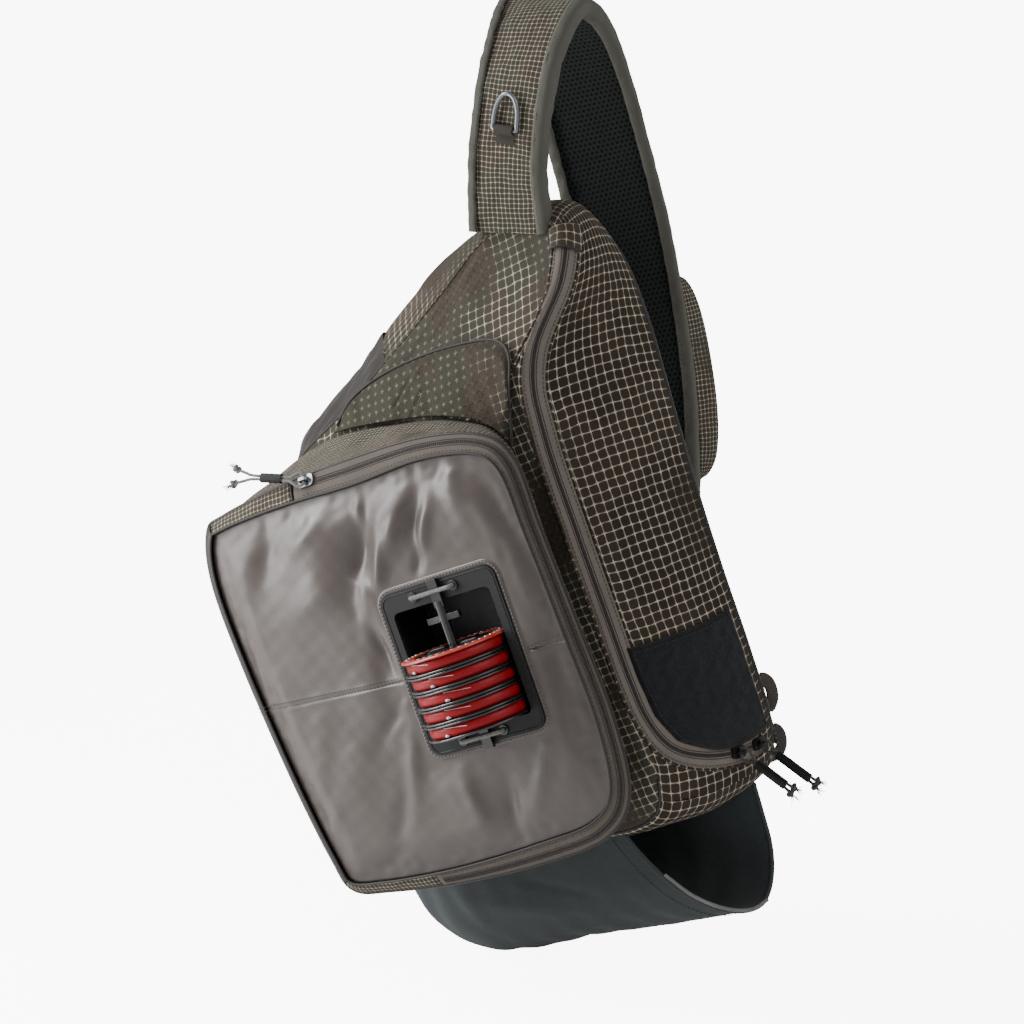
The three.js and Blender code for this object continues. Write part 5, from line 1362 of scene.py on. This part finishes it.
# elastic cords from eyelet to eyelet over the bar's ends
barY = -dock["thickness"] - bag["gap"] - dock["tab"] / 2
topCordZ = (dock["height"] - dock["windowTop"]) / 2
bottomCordZ = -(dock["height"] - dock["windowBottom"]) / 2
cordOver = barY - dock["tab"] / 2 - bag["gap"] - dock["cordRadius"]
half = np.array([[1, 1.4], [1, -3.2], [0.98, cordOver + 1.6], [0.87, cordOver + 0.35], [0.5, cordOver]])
for name, z in (("top", topCordZ), ("bottom", bottomCordZ)):
    line = np.concatenate([half * [-1, 1], [[0, cordOver]], half[::-1]])
    line = np.stack(
        [line[:, 0] * dock["cordSpan"] / 2 + dock["cordX"], line[:, 1], np.full(len(line), z)], -1,
    )
    elastic = meshPiece(
        f"elastic_{name}", [tubeData(dockPlace(curveThrough(line, 90)), dock["cordRadius"], 12)],
        cordGrey,
    )
    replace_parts(elastic, f"dock_cord_{name}")


# spools: rims, hub and bands turned about the bar, each on its own body
windowMiddle = (dock["windowBottom"] - dock["windowTop"]) / 2
windowHeight = dock["height"] - dock["windowTop"] - dock["windowBottom"]
windowFoot = windowMiddle - windowHeight / 2
stackTop = windowFoot + 4 * bag["gap"] + dock["spoolCount"] * dock["pitch"]
spoolHeight = dock["pitch"] - bag["gap"]


def turnedShape(profile, z, sides=112):
    # a closed line of (radius, height) turned about the bar: x = r cos a, y = r sin a + bar, z = height
    profile = np.asarray(profile, float)
    angle = np.linspace(0, math.tau, sides, endpoint=False)
    ring = np.stack([
        profile[:, 0][None] * np.cos(angle)[:, None], profile[:, 0][None] * np.sin(angle)[:, None] + barY,
        np.broadcast_to(profile[:, 1] + z, (sides, len(profile))),
    ], -1)
    n = len(profile)
    index = np.arange(sides * n).reshape(sides, n)
    after = np.roll(index, -1, axis=0)
    faces = np.stack([index, after, np.roll(after, -1, axis=1), np.roll(index, -1, axis=1)], -1)
    uv = np.stack(twoWays(angle * 0.32, profile[:, 1] / 100), -1)
    return dockPlace(ring).reshape(-1, 3), faces.reshape(-1, 4).tolist(), uv.reshape(-1, 2)


def rimProfile(low, high, inner, outer):
    # section of a flange: square at its inner edge, half round at its outer one
    soft = (high - low) / 2
    angle = np.linspace(-math.pi / 2, math.pi / 2, 9)
    edge = [(outer - soft + soft * math.cos(a), (low + high) / 2 + soft * math.sin(a)) for a in angle]
    return [(inner, low), *edge, (inner, high)]


spoolBodies = ["top_spool", "second_spool", "third_spool", "fourth_spool", "bottom_spool"]
for k, body in enumerate(spoolBodies):
    z = stackTop - (k + 1) * dock["pitch"] + bag["gap"] / 2
    bore, r, flange = dock["barRadius"] + bag["gap"], dock["spoolRadius"], dock["flange"]
    parts = [
        turnedShape(rimProfile(0, flange, bore, r), z),
        turnedShape(rimProfile(spoolHeight - flange, spoolHeight, bore, r), z),
        turnedShape(
            [
                (bore, flange), (dock["hubRadius"], flange), (dock["hubRadius"], spoolHeight - flange),
                (bore, spoolHeight - flange),
            ],
            z, 72,
        ),
    ]
    made = meshPiece(f"spool_rims_{k + 1}", parts, glossBlack, body)
    made.data.set_sharp_from_angle(angle=math.radians(40))
    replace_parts(made, f"spool_{k + 1}")
    low, high = flange + 0.2, spoolHeight - flange - 0.2
    bulge = [
        (dock["bandRadius"] - 1.0 * abs(t) ** 3, mix(low, high, (t + 1) / 2))
        for t in np.linspace(-1, 1, 11)
    ]
    band = meshPiece(
        f"spool_band_cloth_{k + 1}", [turnedShape([(26, low), *bulge, (26, high)], z)], redElastic, body,
    )
    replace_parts(band, f"spool_band_{k + 1}")
    turnBy = math.radians((-118, -96, -84, -90, -100)[k])
    c, s = math.cos(turnBy), math.sin(turnBy)
    r = dock["bandRadius"] + 0.2
    # silver bead where the line leaves each band; its bright silver also stands for the glint on the glossy
    # band, partly a painted highlight
    spot = np.array([
        [r * c, r * s + barY, z + low + 0.9], [(r + 0.5) * c, (r + 0.5) * s + barY, z + low + 1.4],
    ])
    glintBead = np.array([spot[0] + [-1.7 * -s, -1.7 * c, 0], spot[1], spot[0] + [1.7 * -s, 1.7 * c, 0]])
    meshPiece(
        f"band_glint_bead_{k + 1}",
        [tubeData(dockPlace(curveThrough(glintBead, 9)), [0.3, 0.7, 0.9, 1, 1, 1, 0.9, 0.7, 0.3], 8)],
        silverPrint, body,
    )
    tail = np.array([
        [30 * c, 30 * s + barY, z + high - 1], [(r + 1) * c, (r + 1) * s + barY, z + high - 0.4],
        [(r + 3) * math.cos(turnBy + 0.5), (r + 3) * math.sin(turnBy + 0.5) + barY, z + high - 2.2],
    ])
    meshPiece(
        f"line_tag_{k + 1}", [tubeData(dockPlace(curveThrough(tail, 24)), 0.16, 5)], silverPrint, body,
    )

z = stackTop - dock["pitch"] + bag["gap"] / 2
printed = [
    (26.5, 0.02), (27, 0.28), (34.3, 0.28), (35.05, -0.1), (35.3, -0.9), (35.05, -1.5), (34, -0.6),
    (27, -0.2),
]
printed = [(radius, spoolHeight + above) for radius, above in printed]
meshPiece("top_spool_printed_rim", [turnedShape(printed, z)], rimOrange, "top_spool")
ticks = []
for spot in np.linspace(0, math.tau, 40, endpoint=False):
    arc = spot + np.linspace(0, 0.085 if int(spot * 3) % 3 else 0.045, 4)
    line = np.stack([31.2 * np.cos(arc), 31.2 * np.sin(arc) + barY, np.full(4, z + spoolHeight + 0.3)], -1)
    ticks.append(tubeData(dockPlace(line), 1.1, 6, 0.25))
meshPiece("top_spool_print", ticks, silverPrint, "top_spool")
hubRing = [
    (18.5, spoolHeight - 0.1), (18.8, spoolHeight + 0.3), (21.6, spoolHeight + 0.3),
    (22, spoolHeight - 0.1),
]
meshPiece("top_spool_hub_ring", [turnedShape(hubRing, z)], satinBlack, "top_spool")
spokes = []
for spot in np.linspace(0, math.tau, 6, endpoint=False):
    radius = np.linspace(5, 19, 6)
    line = np.stack(
        [radius * math.cos(spot), radius * math.sin(spot) + barY, np.full(6, z + spoolHeight)], -1,
    )
    spokes.append(tubeData(dockPlace(line), 1.2, 8))
meshPiece("top_spool_spokes", spokes, satinBlack, "top_spool")
print("dock made")


# bottle sleeve: trough of stretch cloth, u from its left end to its mouth, v round under the bottle
def sleevePoint(u, v, distance):
    # u runs to the mouth and v down the front, round under the bottle and up the back, at a distance
    # outside the bottle's radius; the closed end shrinks as a quarter circle
    u, v = np.broadcast_arrays(np.asarray(u, float), np.asarray(v, float))
    radius = sleeve["radius"] + distance
    straight = sleeve["top"] - sleeve["z"]
    run = v * (2 * straight + math.pi * radius)
    angle = np.clip((run - straight) / radius, 0, math.pi)
    above = np.maximum(np.maximum(straight - run, run - straight - math.pi * radius), 0)
    y, z = -radius * np.cos(angle), above - radius * np.sin(angle)
    mouth = mix(sleeve["mouthFront"], sleeve["mouthBack"], smooth(v, -0.05, 0.55))
    left = -sleeve["left"] - distance
    x = mix(left, mouth, u**1.5)
    swell = np.sqrt(1 - (1 - np.clip((x - left) / sleeve["end"], 0.01, 1)) ** 2)
    return np.stack(
        [
            x, sleeve["y"] + y * mix(0.45, 1, swell),
            sleeve["top"] + (sleeve["z"] + z - sleeve["top"]) * swell,
        ],
        -1,
    )


insideSleeve = (0, sleeve["y"], -20)
u, v = twoWays(np.linspace(0, 1, 130), np.linspace(0, 1, 110))
points = sleevePoint(u, v, sleeve["wall"])
points[0] = points[0].mean(axis=0)
outwards = gridNormals(points, insideSleeve)
along, around = twoWays(lengthAlong(points, 0), lengthAlong(points, 1))
pull = folds(along, around, [
    (150, 40, 12, 60, 6, 1.6), (168, 62, -8, 50, 5, 1.3), (120, 84, 16, 60, 8, 1.2),
    (60, 60, 40, 40, 9, 1.6), (90, 34, 62, 30, 7, -1.3),
    (200, 92, -22, 46, 6, 1.2), (140, 112, 5, 60, 8, -1.2), (60, 104, -30, 40, 9, 1.3),
    (184, 30, 20, 34, 4, -1.2), (30, 80, 80, 30, 8, 1.0),
])
calm = smooth(u, 0.02, 0.2) * smooth(u, 1.0, 0.93)
lift = calm * (pull + 0.6 * ripples(along, around, 38, 61))
points = points + outwards * lift[..., None]
sleeveCloth = gridPiece("sleeve_cloth", points, stretch, insideSleeve, thick=1.6)
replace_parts(sleeveCloth, "bottle_sleeve")
v = np.linspace(0.02, 0.98, 140)
mouthLine = sleevePoint(np.ones(140), v, sleeve["wall"] - 0.7)
meshPiece("sleeve_hem", [tubeData(mouthLine, 1.7, 10)], stretch)
hemLine = sleevePoint(np.full(140, 0.965), v, sleeve["wall"] + 0.4)
hemOut = unit(hemLine - [0, sleeve["y"], sleeve["z"]]) * [0, 1, 1]
meshPiece("sleeve_hem_stitches", [stitchRow(hemLine, hemOut, 3.0, 2.0, 0.26)], darkThread)
cordLine = sleevePoint(np.ones(5), (np.arange(5) + 2) / 11, sleeve["wall"] / 2) + [2.2, 0, 0]
elastic = meshPiece("sleeve_elastic", [tubeData(curveThrough(cordLine, 120), 1.3, 12)], cordGrey)
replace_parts(elastic, "sleeve_cord")
print("sleeve made")


# strap: its middle, run, direction across and direction out of the loop, at places on its route
def strapFrame(spot):
    last = len(strapRoute) - 1

    def pointAt(row):
        return np.stack([
            row[..., 0] * bag["width"], row[..., 1] * strap["reach"],
            row[..., 2] * bag["height"] + row[..., 3] * strap["rise"],
        ], -1)

    spot = np.asarray(spot, float)
    row, before, after = (curveRows(strapRoute, np.clip(spot + d, 0, last)) for d in (0, -0.05, 0.05))
    run = unit(pointAt(after) - pointAt(before))
    lean, yaw = np.radians(row[..., 5]), np.radians(row[..., 6])
    flat = np.stack([np.cos(lean) * np.cos(yaw), np.sin(yaw), np.sin(lean) * np.cos(yaw)], -1)
    out = unit(np.cross(flat, run))
    return dict(
        point=pointAt(row), run=run, across=unit(np.cross(run, out)), out=out,
        width=row[..., 4] * strap["width"],
    )


strapEnd = len(strapRoute) - 1
strapSpots = np.linspace(0, strapEnd, 420)
strapAt = strapFrame(strapSpots)


def onStrap(across, out):
    # middle + direction across * across + direction out * out, for each place on the strap
    across, out = np.broadcast_arrays(np.asarray(across, float), np.asarray(out, float))
    point, beside, away = (strapAt[k][:, None] for k in ("point", "across", "out"))
    return point + beside * across[..., None] + away * out[..., None]


strapHalf = strap["thickness"] / 2
halfCore = strapAt["width"] / 2 - strap["bindingWall"] - 3 * bag["gap"]
side = np.linspace(-1, 1, 40)
alongMm = lengthAlong(strapAt["point"][:, None], 0)
alongGrid, sideGrid = alongMm[:, None], side[None, :] * 30
top = strapHalf + 1.3 * (1 - np.abs(side) ** 5)[None, :] + 0.45 * ripples(alongGrid, sideGrid, 48, 21)
top = top + 0.22 * ripples(alongGrid, sideGrid, 16, 22)
across = side[None, :] * halfCore[:, None]
outer = onStrap(across, top)
under = onStrap(across[:, ::-8], -strapHalf)
coreSection = np.concatenate([outer, under], 1)
coreV = np.concatenate([across, across[:, ::-8]], 1)
coreUv = np.stack([coreV, np.broadcast_to(alongMm[:, None], coreV.shape)], -1)
padded = gridPiece(
    "strap_pad", np.swapaxes(coreSection, 0, 1), ripstopFine, (107, 0, 420), uv=np.swapaxes(coreUv, 0, 1),
    wrap=True,
)
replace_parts(padded, "strap")
liningLow = -strapHalf - bag["gap"] - strap["lining"]
pillow = 0.8 * (1 - np.abs(side) ** 6)[None, :] + 0.12 * ripples(alongGrid, sideGrid, 30, 24)
meshFace = onStrap(across, liningLow + 0.6 - pillow)
lining = gridPiece(
    "strap_mesh", meshFace, spacer, (107, -200, 420),
    uv=np.stack([across, np.broadcast_to(alongMm[:, None], across.shape)], -1),
)
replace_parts(lining, "strap_lining")

bindHigh = strapHalf + strap["ease"] + strap["bindingWall"]
bindLow = liningLow - strap["ease"] - strap["bindingWall"]
angle = np.linspace(math.pi / 2, -math.pi / 2, 25)
bulge = np.sign(np.cos(angle)) * np.abs(np.cos(angle)) ** 0.55 * (strap["binding"] - 0.4)
rounded = np.sign(np.sin(angle)) * np.abs(np.sin(angle)) ** 0.6
height = (bindHigh + bindLow) / 2 + rounded * (bindHigh - bindLow) / 2
for name, sign in (("left", -1), ("right", 1)):
    edge = strapAt["width"][:, None] / 2 - strap["binding"] + bulge[None, :]
    rolled = 1 + 0.05 * ripples(alongMm[:, None], bulge[None, :], 14, 25 + sign)
    points = onStrap(sign * (edge + 0.35 * (rolled - 1) * 10), height[None, :] * rolled)
    tapeUv = np.stack(
        [np.broadcast_to(alongMm[:, None], edge.shape), np.broadcast_to(np.arange(25) * 0.9, edge.shape)],
        -1,
    )
    middleLine = onStrap(sign * (strapAt["width"][:, None] / 2 - 4), -1.0)[:, 0]
    made = gridPiece(f"strap_edge_{name}", points, bindingCloth, middleLine.mean(axis=0), uv=tapeUv)
    thicken(made, 1.0, 0)
    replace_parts(made, f"strap_binding_{name}")
    parts = []
    inset = strap["binding"] - 1.6
    for lift in (bindHigh + 0.1, bindLow - 0.1):
        line = onStrap(sign * (strapAt["width"][:, None] / 2 - inset), lift)[6:-6, 0]
        parts.append(stitchRow(line, strapAt["out"][6:-6] * (1 if lift > 0 else -1), 3.2, 2.2, 0.3))
    meshPiece(f"strap_edge_stitches_{name}", parts, taupeThread)
print("strap made")


# pocket on the strap, a cloth blister over its right edge
strapPocket = dict(depth=24, over=9, seat=strapHalf + strap["ease"] + strap["bindingWall"] + 0.6)
sectionRows = np.array([
    [-1.00, 0, 0], [-0.96, 0, 0.75], [-0.6, 0, 1], [0, 0.2, 1], [0.62, 0.6, 1], [1, 1, 0.78], [1, 0, 0],
])
u, v = twoWays(np.linspace(0, 1, 90), np.linspace(0, 1, 72))
f = strapFrame(mix(*strapPocketRows, u))
end = np.abs(2 * u - 1)
swell = np.maximum(1 - end**4, 0) ** 0.6
shape = curveRows(sectionRows, v * (len(sectionRows) - 1))
across = shape[..., 0] * (f["width"] / 2 - 1) + shape[..., 1] * strapPocket["over"] * swell
soft = 0.7 * ripples(u * 100, v * 90, 30, 33) * np.sin(np.pi * np.clip(v, 0, 1)) * swell
raised = strapPocket["seat"] + np.maximum(0, shape[..., 2] * strapPocket["depth"] * swell + soft)
points = f["point"] + f["across"] * across[..., None] + f["out"] * raised[..., None]
blister = gridPiece("strap_pocket_cloth", points, ripstopFine, f["point"].mean(axis=(0, 1)), thick=1.4)
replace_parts(blister, "strap_pocket")
rimLines = [points[:, 48], points[:, 12]]
meshPiece("strap_pocket_seams", [tubeData(line[3:-3], 0.9, 8) for line in rimLines], darkCoated)

# ring in its keeper
ringSet = dict(row=1.72, wire=1.6, width=17.5, height=23, wall=1.2)
ringSeat = {k: v[0] for k, v in strapFrame(np.array([ringSet["row"]])).items()}
tunnel = ringSet["wire"] + bag["gap"] + ringSet["wall"]
ringOrigin = ringSeat["point"] + ringSeat["out"] * (strapHalf + bag["gap"] + tunnel)
wireSteps, wireSides = 160, 16
half = ringSet["width"] / 2
angle = np.linspace(0, math.pi, 11)
arch = np.stack([half * np.cos(angle), 3 + (ringSet["height"] - 3) * np.sin(angle) ** 0.8], -1)
bar = np.array([[-half, 1.2], [-half + 1.2, 0], [0, 0], [half - 1.2, 0], [half, 1.2]])
flatRing = curveRows(np.concatenate([arch, bar]), np.linspace(0, 16, wireSteps, endpoint=False), True)
line = ringOrigin + flatRing[:, :1] * ringSeat["across"] + flatRing[:, 1:] * ringSeat["run"]
runOf = unit(np.roll(line, -1, 0) - np.roll(line, 1, 0))
angle = np.linspace(0, math.tau, wireSides, endpoint=False)
beside = np.cross(runOf, ringSeat["out"])
wire = line[:, None] + ringSet["wire"] * (
    beside[:, None] * np.cos(angle)[None, :, None] + ringSeat["out"] * np.sin(angle)[None, :, None]
)
index = np.arange(wireSteps * wireSides).reshape(wireSteps, wireSides)
below, right = np.roll(index, -1, 0), np.roll(index, -1, 1)
faces = np.stack([index, below, np.roll(below, -1, 1), right], -1).reshape(-1, 4).tolist()
ringParts = [(wire.reshape(-1, 3), faces, np.zeros((wireSteps * wireSides, 2)))]
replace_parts(meshPiece("ring_wire", ringParts, metal, "ring"), "d_ring")
refined(["ring_keeper"], "ring_webbing", webTaupe, 0.3)

# buckle at the strap's end: two side rails and three bars
buckle = dict(length=22, width=42, thickness=5, rail=4.5, bars=((-8.6, 4.2), (0.5, 3.4), (8.8, 3.8)))
tip = {k: v[0] for k, v in strapFrame(np.array([float(strapEnd)])).items()}
buckleMiddle = tip["point"] + tip["run"] * (bag["gap"] + buckle["length"] / 2)
boxes = [(
    (s * (buckle["width"] - buckle["rail"]) / 2, 0, 0),
    (buckle["rail"], buckle["length"], buckle["thickness"]),
) for s in (-1, 1)]
boxes += [
    ((0, y, 0), (buckle["width"] - 2, depth, buckle["thickness"] - 1.2)) for y, depth in buckle["bars"]
]
cube = np.array([[x, y, z] for x in (-0.5, 0.5) for y in (-0.5, 0.5) for z in (-0.5, 0.5)])
cubeFaces = [[0, 1, 3, 2], [4, 6, 7, 5], [0, 4, 5, 1], [2, 3, 7, 6], [0, 2, 6, 4], [1, 5, 7, 3]]
parts = []
for centre, size in boxes:
    corner = cube * size + centre
    spot = buckleMiddle + corner[:, :1] * tip["across"] + corner[:, 1:2] * tip["run"]
    parts.append((spot + corner[:, 2:] * tip["out"], cubeFaces, np.zeros((8, 2))))
made = meshPiece("strap_adjuster", parts, satinBlack)
made.data.polygons.foreach_set("use_smooth", np.zeros(len(made.data.polygons), bool))
soft = made.modifiers.new("soft edges", "BEVEL")
soft.width, soft.segments, soft.limit_method = 0.0011, 3, "ANGLE"
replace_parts(made, "strap_buckle")


# webbing, wing and small loops
def shareOfBag(x, y, z):
    # x as a share of the width, y in millimetres, z as a share of the height
    return np.array([x * bag["width"], y, z * bag["height"]])


def ribbon(name, path, across, width, material, thick=1.8, crown=0.25, nodes=()):
    # path + side * share of the width + face * crown
    run = unit(np.gradient(path, axis=0))
    face = unit(np.cross(run, across))
    side = np.cross(face, run)
    share = np.linspace(-1, 1, 13)
    beside, rise = share * width / 2, crown * (1 - share**4)
    points = path[:, None] + side[:, None] * beside[None, :, None] + face[:, None] * rise[None, :, None]
    uv = np.stack(twoWays(lengthAlong(points, 0), beside), -1)
    made = gridPiece(name, points, material, path.mean(axis=0) - face.mean(axis=0) * 500, uv=uv)
    thicken(made, thick, 0)
    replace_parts(made, *nodes)


seamLow, seamHigh = shareOfBag(0.500, 2, 0.050), shareOfBag(0.496, 2, 0.190)
tipLow, tipHigh = shareOfBag(0.378, 24, 0.200), shareOfBag(0.442, 20, 0.240)
wingTip, wingSeam = (tipLow + tipHigh) / 2, (seamLow + seamHigh) / 2
tipAcross, wingRun = unit(tipHigh - tipLow), unit(wingTip - wingSeam)
start, end = buckleMiddle + tip["run"] * 3.0, wingTip + wingRun * 1.0
lead = np.linalg.norm(end - start) * 0.25
control = np.array([start, start + tip["run"] * (lead + 6), end + wingRun * lead, end])
t = np.linspace(0, 1, 160)[:, None]
line = (1 - t) ** 3 * control[0] + 3 * (1 - t) ** 2 * t * control[1]
line = line + 3 * (1 - t) * t**2 * control[2] + t**3 * control[3]
ribbon("lower_webbing", line, unit(mix(tip["across"], tipAcross, t)), 25, webTaupe, nodes=["lower_strap"])

u, v = twoWays(np.linspace(-0.02, 1.0, 60), np.linspace(0, 1, 50))
seam, outer = mix(seamLow, seamHigh, v[..., None]), mix(tipLow, tipHigh, v[..., None])
wingFace = unit(np.cross(tipLow - seamLow, seamHigh - seamLow))
puff = 0.6 * ripples(u * 60, v * 50, 24, 51) * np.sin(np.pi * np.clip(u, 0, 1))
points = mix(seam, outer, u[..., None]) + wingFace * puff[..., None]
wingUv = np.stack([u * 62, v * 56], -1)
made = gridPiece("wing_cloth", points, ripstopFine, points.mean(axis=(0, 1)) - wingFace * 400, uv=wingUv)
thicken(made, 2, 0)
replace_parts(made, "strap_wing")
meshPiece(
    "wing_binding", [tubeData(points[3:, k], 1.5, 8) for k in (0, -1)] + [tubeData(points[-1], 1.5, 8)],
    bindingCloth,
)
loopRoutes = {
    "web_loop": [
        (0.480, 4, 0.163), (0.490, 11, 0.161), (0.496, 16, 0.148), (0.494, 17, 0.126), (0.486, 12, 0.113),
        (0.480, 4, 0.110),
    ],
    "corner_loop": [
        (0.484, 4, 0.078), (0.488, 9, 0.076), (0.492, 13, 0.064), (0.488, 14, 0.046), (0.478, 10, 0.034),
        (0.464, 4, 0.030),
    ],
}
for node, width, material in (("web_loop", 9, webTaupe), ("corner_loop", 8, darkCoated)):
    line = curveThrough([shareOfBag(*p) for p in loopRoutes[node]], 90)
    ribbon(
        node + "_webbing", line, np.tile(unit(np.array([0.5, 1.0, 0.0])), (90, 1)), width, material, 1.7,
        nodes=[node],
    )
print("webbing made")


# zip sliders with doubled cords, knots with frayed ends and tubes
knot = dict(size=0.78, fibres=15, spread=0.34, lengths=(4.0, 6.5))


def knotParts(spot, direction, radius, seed):
    # small trefoil: (sin t + 2 sin 2t, cos t - 2 cos 2t, -sin 3t), turned along the cord, then loose fibres
    t = np.linspace(0, math.tau, 60)
    flat = [np.sin(t) + 2 * np.sin(2 * t), np.cos(t) - 2 * np.cos(2 * t), -1.6 * np.sin(3 * t)]
    flat = np.stack(flat, -1) * knot["size"]
    one = unit(np.cross(direction, [0.2, 1.0, 0.3]))
    two = np.cross(direction, one)
    path = spot + flat[:, :1] * one + flat[:, 1:2] * direction + flat[:, 2:] * two
    parts = [tubeData(path, radius, 8)]
    rng = np.random.default_rng(seed)
    for _ in range(knot["fibres"]):
        lean = unit(direction + rng.normal(0, knot["spread"], 3))
        bend = rng.normal(0, 0.5, 3)
        steps = np.linspace(0, 1, 6)[:, None]
        fibre = spot + direction * 1.6 + lean * steps * rng.uniform(*knot["lengths"])
        fibre = fibre + bend * steps**2 * 1.6
        parts.append(tubeData(fibre, np.linspace(0.24, 0.1, 6), 5))
    return parts


def zipPull(name, seat, direction, length, spread, material, tubeMaterial, sliderMaterial, seed):
    # one cord from a knot through the tube and the slider's eye and back to the other knot
    point, run, out = seat
    refined([f"{name}_slider"], f"{name}_slide", sliderMaterial, 0.35)
    refined([f"{name}_tube"], f"{name}_sheath", tubeMaterial, 0.3)
    eye = point + out * 3.75
    beside = unit(np.cross(out, run))
    apart = unit(beside - direction * np.dot(beside, direction))
    lines, parts = [], []
    for side in (1, -1):
        strand = [
            (length + 1, spread, 0), (length - 5, mix(1.2, spread, 0.45), 0), (length - 12, 1.2, 0),
            (12, 1.2, 0), (7, 2.6, 0.8), (3, 4.4, 0.4),
        ]
        lines.append([eye + direction * a + apart * side * off + out * up for a, off, up in strand])
        parts += knotParts(
            eye + direction * (length + 2.2) + apart * side * (spread + 0.4),
            unit(direction + apart * side * 0.12 * spread), 0.95, seed + side,
        )
    bend = [eye + beside * s for s in (2.6, 0, -2.6)]
    route = curveThrough(lines[0] + bend + lines[1][::-1], 200)
    parts.append(tubeData(route, 1.0, 10))
    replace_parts(meshPiece(f"{name}_pull", parts, material), f"{name}_cord")


def zipSeat(share):
    # place + outward direction * half the tape and the gap
    at = {k: v[0] for k, v in zipPlace(np.array([share])).items()}
    return at["point"] + at["out"] * (tape["thickness"] / 2 + bag["gap"]), at["run"], at["out"]


pullDown = unit(np.array([0.70, -0.1, -0.70]))
zipPull("main_zip_front", zipSeat(0.925), pullDown, 40, 1.9, cordDull, satinBlack, satinBlack, 3)
zipPull("main_zip_back", zipSeat(0.985), pullDown, 43, 1.9, cordDull, satinBlack, satinBlack, 7)
seatRow = np.array([tapeRows[0] + 0.22])
seatWidth = tapeWidthAt(seatRow)
seatPoint = pocketInset(seatRow, 1.0, 0.3 * seatWidth)[0]
seatPoint[1] = mix(pocketFront, faceFront, 0.3) - bag["gap"] - bag["wall"]
seatRun = unit(pocketEdge(seatRow + 0.1, 1.0) - pocketEdge(seatRow - 0.1, 1.0))[0]
overTape = pocketInset(seatRow, 1.0, seatWidth) - pocketInset(seatRow, 1.0, 0 * seatWidth)
slope = unit(np.array([0, -pocket["slope"], 0]) + overTape[0])
seatOut = unit(np.cross(slope, seatRun))
frontDirection = unit(np.array([-0.955, -0.05, 0.27]))
zipPull(
    "front_zip", (seatPoint + seatOut * bag["gap"], seatRun, seatOut), frontDirection, 48, 4.6, cordGrey,
    satinBlack, metal, 11,
)
print("pulls made")


# pale floor just under the sleeve, and soft studio light
studio = dict(
    floorGap=3, floorSize=60, sky=0.42, keyStrength=3.0, keyAngle=22, rimStrength=0.9, rimAngle=40,
    softbox=7.5, floorGlow=8.0, middle=(0.03, -0.09, -0.34), keyFrom=(-2.1, -0.85, 1.7),
    rimFrom=(1.6, -0.35, 1.3), softboxFrom=(-0.62, -0.42, 0.10),
)


def glowInCamera(tree):
    # the stage glows where the camera looks at it, and not where it lights the bag
    seen = tree.nodes.new("ShaderNodeLightPath").outputs["Is Camera Ray"]
    return calc(tree, "MULTIPLY", seen, studio["floorGlow"])


floorZ = cadBox[0][2] - studio["floorGap"] / 1000
floorMaterial = bpy.data.materials.new("pale floor")
floorMaterial.use_nodes = True
floorTree = floorMaterial.node_tree
floorSurface = floorTree.nodes["Principled BSDF"]
floorSurface.inputs["Roughness"].default_value = 0.9
floorSurface.inputs["Specular IOR Level"].default_value = 0.1
speck = noise(floorTree, floorTree.nodes.new("ShaderNodeTexCoord").outputs["Object"], 3.0, 3.0)
floorTree.links.new(
    mixColour(floorTree, ramp(floorTree, speck, 0.3, 0.7), (0.90, 0.90, 0.90, 1), (0.93, 0.93, 0.93, 1)),
    floorSurface.inputs["Base Color"],
)
floorSurface.inputs["Emission Color"].default_value = (1.0, 1.0, 1.0, 1)
floorTree.links.new(glowInCamera(floorTree), floorSurface.inputs["Emission Strength"])
size = studio["floorSize"]
floorMesh = bpy.data.meshes.new("floor")
floorMesh.from_pydata(
    [(-size, -size, floorZ), (size, -size, floorZ), (size, size, floorZ), (-size, size, floorZ)], [],
    [(0, 1, 2, 3)],
)
floorMesh.materials.append(floorMaterial)
floor = bpy.data.objects.new("floor", floorMesh)
bpy.context.scene.collection.objects.link(floor)

world = bpy.data.worlds.new("studio")
bpy.context.scene.world = world
world.use_nodes = True
sky = world.node_tree.nodes["Background"].inputs
sky["Color"].default_value = (1.0, 1.0, 1.0, 1)
glow = calc(world.node_tree, "ADD", glowInCamera(world.node_tree), studio["sky"])
world.node_tree.links.new(glow, sky["Strength"])


def addLight(name, kind, direction, **settings):
    # lamp at middle + direction, shining back to the middle
    data = bpy.data.lights.new(name, kind)
    for label, value in settings.items():
        setattr(data, label, value)
    lamp = bpy.data.objects.new(name, data)
    away = Vector(direction)
    lamp.rotation_euler = away.to_track_quat("Z", "Y").to_euler()
    lamp.location = Vector(studio["middle"]) + away
    bpy.context.scene.collection.objects.link(lamp)


for name in ("key", "rim"):
    addLight(
        name, "SUN", studio[name + "From"], energy=studio[name + "Strength"],
        angle=math.radians(studio[name + "Angle"]),
    )
addLight(
    "softbox", "AREA", studio["softboxFrom"], energy=studio["softbox"], shape="RECTANGLE", size=0.35,
    size_y=0.6,
)
print("stage made")
